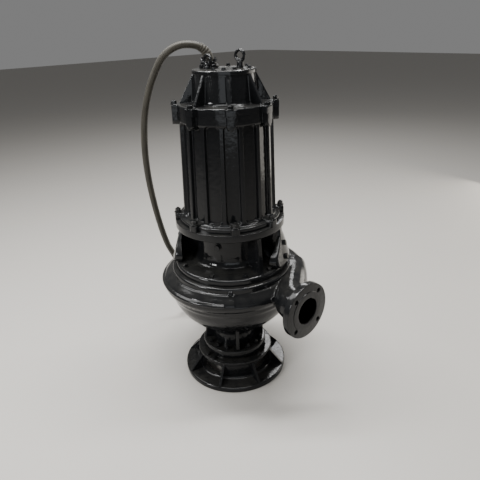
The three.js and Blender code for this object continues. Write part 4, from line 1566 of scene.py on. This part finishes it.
@dataclass
class Volute:
    """Volute casing: a dished bowl with a growing scroll round it, and the discharge branch with its flange.

    The bowl and scroll are a radius over angle and height: the bowl's profile, and a half ellipse round the
    scroll's middle line whose reach grows by a power of the sweep. The branch is a tube that leaves the
    scroll along its tangent and bends to +X. They are melted into one casting, and then hollowed.

    Attributes:
        scroll_centre: Radius of the scroll's middle line where it starts.
        scroll_fade: Angle past its end over which the scroll eases away.
        scroll_inner: How far inside its starting middle the grown scroll's inner edge lies.
        scroll_shift: How far its middle then moves out from between its edges.
        reach: Outer radius of the scroll at its start and its end.
        half_height: Half its height at its start and its end.
        branch_lead: How far the branch follows the scroll's tangent and +X before and after its bend.
        bowl_profile: Radii, heights and corner radii of the bowl, between its foot and its rim.
        rim_round: Radius of the rim's top edge.
        ledge: How far the step under the rim stands out.
        boss_at: Radius and height of the boss on the scroll's start.
        boss_radii: Its own radius at its foot and at its head.
        bead_section: Points of the bead's section, out from the scroll and up.
        bead_ends: Angles at which the bead starts and ends.
        step_angle: Where the step at the scroll's start stands.
        voxel: Spacing of the grid that melts the casting.
    """

    axis: float = 0.426
    rim_radius: float = 0.238
    rim_bottom: float = 0.470
    rim_top: float = 0.491
    rim_inner: float = 0.170
    rim_round: float = 0.012
    ledge: float = 0.006
    scroll_centre: float = 0.205
    scroll_start: float = -25
    scroll_sweep: float = 290
    scroll_fade: float = 50
    scroll_inner: float = 0.070
    scroll_shift: float = 0.032
    reach: Pair = (0.270, 0.306)
    half_height: Pair = (0.043, 0.062)
    scroll_fillet: float = 0.006
    power: float = 1.3
    branch_radius: float = 0.064
    branch_straight: float = 0.052
    branch_lead: Pair = (0.110, 0.060)
    bore: float = 0.050
    face: float = 0.400
    raised: float = 0.002
    raised_radius: float = 0.074
    flange_radius: float = 0.105
    flange_thickness: float = 0.024
    hole_circle: float = 0.085
    hole_radius: float = 0.009
    eye_radius: float = 0.062
    chamber_radius: float = 0.157
    chamber: Pair = (0.392, 0.484)
    bowl_profile: tuple[Triple, ...] = (
        (0.158, 0.250, 0.012), (0.192, 0.276, 0.012), (0.220, 0.308, 0.012), (0.240, 0.344, 0.012),
        (0.250, 0.375, 0.006), (0.257, 0.385, 0.004), (0.2575, 0.400, 0.006), (0.2675, 0.418, 0.008),
        (0.2690, 0.437, 0.003), (0.2445, 0.4685, 0.001),
    )
    boss_angle: float = -43.5
    boss_at: Pair = (0.2275, 0.4615)
    boss_radii: Pair = (0.012, 0.010)
    boss_height: float = 0.024
    bead_height: float = 0.4365
    bead_radius: float = 0.0065
    bead_section: tuple[Pair, ...] = (
        (-0.008, -0.009), (0.0045, -0.0055), (0.0062, 0.0005), (0.0042, 0.0045), (-0.0050, 0.0108),
        (-0.0080, 0.0085),
    )
    bead_ends: Pair = (-308, -47.5)
    plug: Fastener = Fastener(0.019, 0.011, washer=0.0135, washer_height=0.004)
    plug_angle: float = -8
    plug_at: Pair = (0.262, 0.434)
    step_angle: float = -40.5
    step_depth: float = 0.006
    voxel: float = 0.0034
    smoothing: int = 4

    def growth(self, turned: Array) -> Array:
        """Share of the scroll's growth after some degrees of its sweep, eased away behind the branch."""
        grown = np.clip(turned / self.scroll_sweep, 0, 1) ** self.power
        return grown * (1 - ease((turned - self.scroll_sweep) / self.scroll_fade))

    def section(self, turned: Array) -> tuple[Array, Array, Array]:
        """Work out the scroll's section.

        Args:
            turned: Degrees of its sweep.

        Returns:
            Its middle radius, half width and half height.
        """
        g = self.growth(turned)
        reach = self.reach[0] + (self.reach[1] - self.reach[0]) * g
        end = (reach + self.scroll_centre - self.scroll_inner) / 2 + self.scroll_shift
        middle = self.scroll_centre + (end - self.scroll_centre) * g
        return middle, reach - middle, self.half_height[0] + (self.half_height[1] - self.half_height[0]) * g

    def bowl(self) -> Skin:
        """Bowl and scroll as one closed surface, with the step at the scroll's start.

        Returns:
            The surface.
        """
        base = heights("volute_casing")[0]
        rim = self.rim_radius - 0.002
        neck = [(rim, 0.4695, 0.001), (rim, 0.4770, 0.006), (0.2230, self.rim_top - 0.001, 0)]
        profile = rounded([(0.126, base, 0), *self.bowl_profile, *neck])
        angles = spaced(0, 240)[None, :]
        z = np.linspace(base, self.rim_top - 0.001, 150)[:, None]
        radius = radius_at(profile, z)
        middle, width, height = self.section((self.scroll_start - angles) % 360)
        inside = 1 - ((z - self.axis) / height) ** 2
        scroll = middle + width * np.sqrt(np.clip(inside, 0, None)) - 0.6 * np.clip(-inside, 0, 0.2)
        past = (angles - self.step_angle) % 360
        step = ease(past / 1.2) * (1 - ease((past - 4) / 34))
        shoulder = ease((z - 0.429) / 0.008) * (1 - ease((z - 0.469) / 0.001))
        whole = smooth_high(radius, scroll, self.scroll_fillet) - self.step_depth * step * shoulder
        return capped(around(angles, whole, z))

    def branch_line(self) -> tuple[Array, Array, Array]:
        """The branch's middle line with its half width and half height along it.

        The line is a cubic curve from the scroll's end along its tangent to the straight stretch behind the
        flange, and the section eases from the scroll's to the pipe's.

        Returns:
            The line as (n, 2), the half widths and the half heights.
        """
        end = self.scroll_start - self.scroll_sweep
        _, width, height = self.section(np.array(self.scroll_sweep))
        start = around(end, self.reach[1] - width, 0.0)[:2]
        heading = around(end - 90, 1.0, 0.0)[:2]
        bend_end = self.face - self.raised - self.branch_straight
        out, back = self.branch_lead
        b, c, d = start + heading * out, np.array([bend_end - back, 0]), np.array([bend_end, 0])
        t = np.linspace(0, 1, 40)[:, None]
        bend = (1 - t) ** 3 * start + 3 * t * (1 - t) ** 2 * b + 3 * t**2 * (1 - t) * c + t**3 * d
        inside = np.stack([start - heading * 0.05, start - heading * 0.02])
        rest = np.linspace(bend_end, self.face - 0.006, 14)[1:]
        line = np.concatenate([inside, bend, np.stack([rest, 0 * rest], -1)])
        share = np.concatenate([[0, 0], t[:, 0], np.ones(len(rest))])
        plate = self.face - self.raised - self.flange_thickness
        flare = 0.012 * np.clip(1 - (plate - line[:, 0]) / 0.014, 0, 1) ** 2 * (share >= 1)
        across = width + (self.branch_radius - width) * ease(share)
        tall = height + (self.branch_radius - height) * ease(share)
        return line, across + flare, tall + flare

    def swept(self, line: Array, across: Array, tall: Array) -> Skin:
        """Carry an upright ellipse along a level line.

        Args:
            line: The line as (n, 2).
            across: Half widths.
            tall: Half heights.

        Returns:
            The closed tube.
        """
        along = unit(np.gradient(line, axis=0))
        t = np.radians(spaced(0, 72))[None, :]
        aside = np.stack([along[:, 1], -along[:, 0]], -1)
        flat = line[:, None] + aside[:, None] * (across[:, None] * np.cos(t))[..., None]
        up = np.broadcast_to(self.axis + tall[:, None] * np.sin(t), flat.shape[:2])
        return capped(np.concatenate([flat, up[..., None]], -1))

    def waterway(self) -> Skin:
        """What is cut out of the branch: the pipe's bore from its mouth into the chamber.

        Its size is nine tenths of the branch's within its wall, eased to the bore near the mouth.

        Returns:
            The closed cutter.
        """
        line, *sizes = self.branch_line()
        first, wall = 12, self.branch_radius - self.bore
        line = np.concatenate([line[first:], [[self.face + 0.03, 0]]])
        mix = ease(np.clip((line[:, 0] - self.face + 0.12) / 0.05, 0, 1))
        inner = [np.append((size[first:] - wall) * 0.9, self.bore) for size in sizes]
        return self.swept(line, *(size + (self.bore - size) * mix for size in inner))

    def flange(self) -> Thing:
        """The flange plate with its raised face, bore and bolt holes, facing +X.

        Returns:
            The object.
        """
        plate = self.face - self.raised
        back = plate - self.flange_thickness
        r, hub, lip = self.flange_radius, self.flange_radius - 0.03, self.raised_radius
        foot = [(self.bore, back - 0.004, 0.0), (hub, back - 0.004, 0.0), (hub, back, 0.0)]
        rim = [(r, back, 0.0022), (r, plate, 0.0022), (lip + 0.0004, plate, 0.0004)]
        face = [(lip, self.face, 0.0008), (self.bore, self.face, 0.0012)]
        ring = lathe([*foot, *rim, *face], 128, closed=True)
        pin = disc(self.hole_radius, (back - 0.02, self.face + 0.02), sides=28)
        pins = joined(pin.moved(around(angle, self.hole_circle, 0.0)) for angle in spaced(45, 4))
        ring, pins = (skin.aimed((1, 0, 0)).moved((0, 0, self.axis)) for skin in (ring, pins))
        thing = ring.mesh_object("discharge_flange")
        cut_away(thing, pins)
        return thing

    def rim_and_bead(self) -> Skin:
        """The rim under the lantern with a narrow step, the boss on it, and the bead along the scroll.

        The rim is a turned profile whose step narrows to a tenth away from the boss. The bead is its section
        carried along the scroll's outer line. It thickens over 25 degrees and ends in a quarter circle.

        Returns:
            The three as one surface.
        """
        r, low, top = self.rim_radius + 0.0005, self.rim_bottom, self.rim_top
        foot, lip = low - 0.008, r + self.ledge
        step = [(lip, foot, 0.002), (lip, low - 0.0015, 0.003), (r, low + 0.0005, 0.005)]
        corners = [(self.rim_inner, foot, 0), *step, (r, top, self.rim_round), (self.rim_inner, top, 0)]
        profile = rounded(corners, closed=True, steps=8)
        columns = spaced(0, 360)
        from_boss = (self.boss_angle - 3 - columns) % 360
        ledge = ease(from_boss / 1.5) * (1 - ease((from_boss - 100) / 25)) * 0.9 + 0.1
        radius = profile[:, :1] - np.clip(profile[:, :1] - r, 0, None) * (1 - ledge)
        rim = knit(around(columns[None, :], radius, profile[:, 1:]), ring_rows=True)
        (wide, narrow), tall = self.boss_radii, self.boss_height
        boss = lathe([(PIN_BORE, 0, 0), (wide, 0, 0), (narrow, tall, 0.006), (PIN_BORE, tall, 0)], 32)
        boss = boss.aimed(around(self.boss_angle, 1.0, 0.9)).moved(around(self.boss_angle, *self.boss_at))
        start, last = self.bead_ends
        angles = [np.linspace(start, last - 2, 380), np.linspace(last - 1.9, last, 20)]
        angles = np.concatenate(angles)[:, None]
        middle, width, _ = self.section(self.scroll_start - angles)
        to_end = np.clip(np.radians(angles[-1] - angles) * middle / self.bead_radius, 0, 1)
        size = np.sqrt(np.clip(1 - (1 - to_end) ** 2, 0.02, 1))
        size = size * np.clip(ease((angles - start) / 25), 0.02, 1)
        strip = rounded([(*p, 0.0018) for p in self.bead_section[::-1]], closed=True)
        bead = around(angles, middle + width + strip[:, 0] * size, self.bead_height + strip[:, 1] * size)
        return joined([rim, boss, capped(bead)])

    def build(self) -> None:
        """Make the casing, its flange, its rim and bead, and its plug."""
        casing = joined([self.bowl(), self.swept(*self.branch_line())]).mesh_object("volute_body")
        cast_skin(casing, self.voxel, self.smoothing)
        foot = heights("volute_casing")[0] - 0.02
        (low, high), r, c = self.chamber, self.eye_radius, self.chamber_radius
        inside = [(r, low, 0.004), (c, low, 0.002), (c, high, 0.002), (PIN_BORE, high, 0)]
        cut_away(casing, lathe([(PIN_BORE, foot, 0), (r, foot, 0), *inside], 96))
        cut_away(casing, self.waterway())
        dress(casing, ("volute_casing",), 65)
        dress(self.flange(), (), 40)
        piece("volute_rim_and_bead", self.rim_and_bead(), (), 50)
        out = around(self.plug_angle - 14, 1.0, 0.25)
        fasteners("volute_plug", self.plug.set_at(around(self.plug_angle, *self.plug_at), out))


@dataclass
class Suction:
    """Suction neck with four ribs under the volute, on the suction ring with its studs and nuts.

    Attributes:
        spigot: Radius of the ring's lower part, which sits in the stand.
        flange: Radius of its upper part.
        neck: Outer radius of the neck.
        rib_fillets: Reach of the rounding of a rib's edges, and of its fillet with the neck.
    """

    bore: float = 0.062
    spigot: float = 0.122
    spigot_top: float = 0.108
    flange: float = 0.132
    neck: float = 0.088
    rib_reach: float = 0.123
    rib_thickness: float = 0.014
    rib_start: float = -36
    rib_fillets: Pair = (0.004, 0.010)
    ribs: int = 4
    nut: Fastener = Fastener(0.017, 0.010, stud=0.007)
    nut_circle: float = 0.112

    def neck_skin(self, low: float, top: float) -> Skin:
        """Neck and ribs: a radius over angle and height outside, and the plain bore inside.

        A rib's radius is its reach, or half its thickness over the sine of the angle to it where less.

        Args:
            low: Height of its foot.
            top: Height of its top.

        Returns:
            The surface, a closed ring.
        """
        pitch, half, reach = 360 / self.ribs, self.rib_thickness / 2, self.rib_reach
        near = fin_columns(half, (self.neck - 0.006, reach, 14), (reach + 0.006, 0.3, 6))
        angles = finned_turn(self.rib_start, self.ribs, near, 1.5, 26)[None, :]
        profile = rounded([(self.neck, low, 0), (self.neck, top - 0.030, 0.022), (reach, top, 0)], steps=10)
        z = graded(low, top, [low, top - 0.02, top], 0.002, 0.008, 0.012)[:, None]
        radius = radius_at(profile, z)
        side = half / steepness(off_angle(angles, self.rib_start, pitch))
        rib = smooth_low(np.full_like(z * side, reach), side, self.rib_fillets[0])
        outer = around(angles, smooth_high(radius, rib, self.rib_fillets[1]), z)
        inner = around(angles, np.full_like(z, self.bore), z)
        return knit(np.concatenate([outer, inner[::-1]]), ring_rows=True)

    def build(self) -> None:
        """Make the neck, the ring and the nuts."""
        piece("ribbed_suction_neck", self.neck_skin(*heights("suction_neck")), ("suction_neck",), 60)
        low, top = heights("suction_ring")
        step = [(self.spigot, low, 0.001), (self.spigot, self.spigot_top, 0.003)]
        rim = [(self.flange, self.spigot_top, 0.003), (self.flange, top, 0.005)]
        ring = lathe([(self.bore, low, 0.001), *step, *rim, (self.bore, top, 0.001)], closed=True)
        piece("suction_flange_ring", ring, ("suction_ring",))
        places = self.rib_start + 45 + 22.5 * np.array([-1.0, 0, 1])
        places = around(repeated(0, self.ribs, places), self.nut_circle, top - SUNK)
        fasteners("suction_ring_nuts", self.nut.set_at(places))


@dataclass
class RingStand:
    """Ring stand: base flange, wall with four windows, top ring and eight gussets.

    The outer recess between the base flange and the top ring is a length along rays from a ring outside it,
    as on the lantern, and the section closes through the inside of the wall. The windows are cut afterwards.

    Attributes:
        opening: Radius of the hole in the base flange.
        seat: Inner radius of the top ring.
        gusset_foot: How far a gusset reaches at its foot.
        gusset_fillets: Reach of the rounding of a gusset's edges, and of its fillet with the wall.
        window_round: Radius of a window's corners.
        window_cut: Where its cutter starts and ends.
        ring: Radius and height of the ring that the rays start from.
    """

    base_radius: float = 0.215
    base_height: float = 0.020
    opening: float = 0.130
    wall_outer: float = 0.155
    wall_inner: float = 0.138
    ring_radius: float = 0.157
    ring_bottom: float = 0.082
    seat: float = 0.112
    gussets: int = 8
    gusset_start: float = -15
    gusset_thickness: float = 0.011
    gusset_foot: float = 0.209
    gusset_fillets: Pair = (0.003, 0.010)
    windows: int = 4
    window_start: float = 7.5
    window_width: float = 0.100
    window_low: float = 0.028
    window_high: float = 0.077
    window_round: float = 0.014
    window_cut: Pair = (0.11, 0.172)
    ring: Pair = (0.236, 0.066)
    nut: Fastener = Fastener(0.015, 0.008, stud=0.004, stud_radius=0.004)
    nut_angles: tuple[float, ...] = (-94, -79, 3, 86, 101, 183)
    nut_circle: float = 0.1415

    def skin(self, top: float) -> Skin:
        """The stand before its windows are cut.

        Args:
            top: Height of its top.

        Returns:
            The surface, a closed ring.
        """
        pitch, half, foot = 360 / self.gussets, self.gusset_thickness / 2, self.gusset_foot
        near = fin_columns(half, (self.wall_outer - 0.008, foot - 0.01, 18), (foot - 0.005, foot + 0.06, 8))
        angles = finned_turn(self.gusset_start, self.gussets, near, 0.8, 20)
        base, under, wall = self.base_height, self.ring_bottom, self.wall_outer
        br, rr = self.base_radius, self.ring_radius
        lips = (br - 0.004, base, 0), (rr - 0.002, under, 0)
        outline = [lips[0], (wall, base, 0.012), (wall, under, 0.006), lips[1]]
        recess = Recess(self.ring, outline, steps=8, between=10, every=10, fine=1.2)
        rise, far = recess.rays()
        tilt = (rr - 0.002 - foot) / (under + 0.002 - (base + 0.004))
        slant = recess.to_edge(rise, tilt, foot - tilt * (base + 0.004))
        side = recess.to_side(rise, off_angle(angles[None, :], self.gusset_start, pitch), half)
        edge_round, wall_fillet = self.gusset_fillets
        plate = smooth_high(slant, side, edge_round)
        plate = smooth_high(plate, recess.to_edge(rise, 0.0, foot), edge_round)
        length = smooth_low(np.broadcast_to(far, plate.shape), plate, wall_fillet)
        lower = rounded([(self.opening, 0, 0.001), (br, 0, 0.002), (br, base - 0.004, 0.003), lips[0]])
        ring = [lips[1], (rr, under + 0.002, 0.002), (rr, top, 0.003), (self.seat, top, 0.002)]
        inside = [(self.seat, under, 0.002), (self.wall_inner, under - 0.002, 0.005)]
        floor = [(self.wall_inner, base + 0.002, 0.005), (self.opening, base, 0.003)]
        upper = rounded([*ring, *inside, *floor, (self.opening, 0.003, 0)])
        return knit(recess.casting(angles, rise, length, lower, upper), ring_rows=True)

    def window(self, angle: float) -> Skin:
        """What is cut out of the wall for one window: a rounded rectangle carried outwards.

        Args:
            angle: The window's middle.

        Returns:
            The closed cutter.
        """
        w, h, r = self.window_width / 2, (self.window_high - self.window_low) / 2, self.window_round
        flat = rounded([(-w, -h, r), (w, -h, r), (w, h, r), (-w, h, r)], closed=True, steps=8)
        up = (self.window_high + self.window_low) / 2 + flat[:, 1]
        rings = [np.stack([np.full(len(flat), x), flat[:, 0], up], -1) for x in self.window_cut]
        return capped(np.stack(rings)).turned(angle)

    def build(self) -> None:
        """Make the stand and the nuts on its top."""
        top = heights("ring_stand")[1]
        thing = self.skin(top).mesh_object("stand_casting")
        cut_away(thing, joined(self.window(angle) for angle in spaced(self.window_start, self.windows)))
        dress(thing, ("ring_stand",), 50)
        places = around(np.array(self.nut_angles), self.nut_circle, top - SUNK)
        fasteners("stand_nuts", self.nut.set_at(places))


@dataclass(frozen=True)
class Lamp:
    """One soft area light.

    Attributes:
        place: Where it is, about the shaft.
        aim: Where it points, about the shaft.
        size: Width and height of its face.
        power: Watts.
    """

    name: str
    place: Triple
    aim: Triple
    size: Pair
    power: float
    colour: Triple = (1, 1, 1)

    def light(self) -> None:
        """Make the light."""
        data = bpy.data.lights.new(self.name, "AREA")
        data.shape = "RECTANGLE"
        data.size, data.size_y = self.size
        data.energy = self.power
        data.color = self.colour
        thing = linked(bpy.data.objects.new(self.name, data))
        thing.location = Vector(self.place) + Vector(SHAFT)
        thing.rotation_mode = "QUATERNION"
        thing.rotation_quaternion = (Vector(self.aim) - Vector(self.place)).to_track_quat("-Z", "Y")


@dataclass
class Studio:
    """Camera at the photograph's place, pale floor, and soft light from above and the sides.

    Attributes:
        distance: How far the camera stands from the shaft.
        azimuth: Turn of the camera about the shaft.
        yaw: Turn of its view from the shaft, in radians, as are pitch and roll.
        focal_share: Focal length as a share of the sensor's width.
        shift: Upright shift of the lens.
        glow: Grey and strength of the light from all around.
    """

    distance: float = 1.750
    azimuth: float = 49
    height: float = 1.37865
    yaw: float = 0.0227
    pitch: float = 0.3736
    roll: float = -0.0321
    focal_share: float = 479.1 / 480
    shift: float = -27 / 480
    floor_size: float = 40.0
    floor_level: float = -0.0006
    floor_finish: MattePatches = MattePatches(
        "pale_floor",
        (0.385, 0.368, 0.341, 1),
        scale=3,
        detail=4,
        low=0.3,
        most=0.10,
        darker=0.9,
        roughness=0.7,
    )
    glow: Pair = (0.80, 0.26)
    lamps: tuple[Lamp, ...] = (
        Lamp("ceiling_strip", (-0.25, 0.22, 3.5), (0, 0, 0.6), (3.0, 0.30), 230),
        Lamp("ceiling_soft", (0.83, -0.72, 3.5), (0, 0, 0.6), (2.6, 1.1), 75),
        Lamp("front_left", (-0.49, -3.06, 1.9), (0, 0, 0.1), (0.9, 0.7), 75),
        Lamp("front_wide", (3.93, -3.41, 1.0), (0, 0, 1.0), (4.0, 1.8), 38, (0.90, 0.95, 1.0)),
        Lamp("right_wide", (0.825, 2.887, 0.64), (0, 0, 0.64), (2.4, 1.2), 30, (1.0, 0.95, 0.87)),
        Lamp("left_ceiling", (-1.97, -1.09, 3.2), (0, 0, 0.5), (1.6, 1.4), 58),
        Lamp("back_right", (-2.50, 3.16, 3.15), (0, 0, 0.1), (1.2, 0.9), 40),
    )

    def camera(self) -> None:
        """Make the camera: its basis is the view's direction, right and up, turned by yaw, pitch and roll."""
        sy, cy, sp, cp = math.sin(self.yaw), math.cos(self.yaw), math.sin(self.pitch), math.cos(self.pitch)
        ahead, right = Vector((sy * cp, cy * cp, -sp)), Vector((cy, -sy, 0))
        up = right.cross(ahead)
        cr, sr = math.cos(self.roll), math.sin(self.roll)
        basis = Matrix((cr * right + sr * up, -sr * right + cr * up, -ahead)).transposed()
        spin = Matrix.Rotation(math.radians(self.azimuth), 3, "Z")
        data = bpy.data.cameras.new("camera")
        data.sensor_width = 36
        data.lens = data.sensor_width * self.focal_share
        data.shift_y = self.shift
        thing = linked(bpy.data.objects.new("camera", data))
        place = spin @ Vector((0, -self.distance, self.height)) + Vector(SHAFT)
        thing.matrix_world = Matrix.Translation(place) @ (spin @ basis).to_4x4()
        bpy.context.scene.camera = thing

    def floor(self) -> None:
        """Make the pale floor."""
        s = self.floor_size / 2
        ring = rounded([(-s, -s, 1), (s, -s, 1), (s, s, 1), (-s, s, 1)], closed=True)
        points = np.column_stack([ring, np.full(len(ring), self.floor_level)])
        mesh = bpy.data.meshes.new("floor")
        mesh.from_pydata(points.tolist(), [], [list(range(len(points)))])
        paint(mesh, self.floor_finish)
        linked(bpy.data.objects.new("floor", mesh))

    def lights(self) -> None:
        """Add the lamps and the surrounding glow."""
        for lamp in self.lamps:
            lamp.light()
        world = bpy.data.worlds.new("surround")
        world.use_nodes = True
        grey, strength = self.glow
        background = world.node_tree.nodes["Background"]
        background.inputs[0].default_value = (grey, grey, grey, 1)
        background.inputs[1].default_value = strength
        bpy.context.scene.world = world


def main() -> None:
    """Build the camera, the cable and the pump's sub-assemblies in order."""
    logging.basicConfig(level=logging.INFO, format="%(message)s")
    studio = Studio()
    studio.camera()
    gland = Gland()
    Cord().build(*gland.exit())
    gland.build()
    for assembly in (Lid(), RibbedCover(), MotorFrame(), Lantern(), Volute(), Suction(), RingStand()):
        LOG.info("building %s", type(assembly).__name__)
        assembly.build()
    for node in ("impeller", "impeller_nut"):
        paint(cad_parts[node].data, BareIron())
    studio.floor()
    studio.lights()


if __name__ == "__main__":
    main()
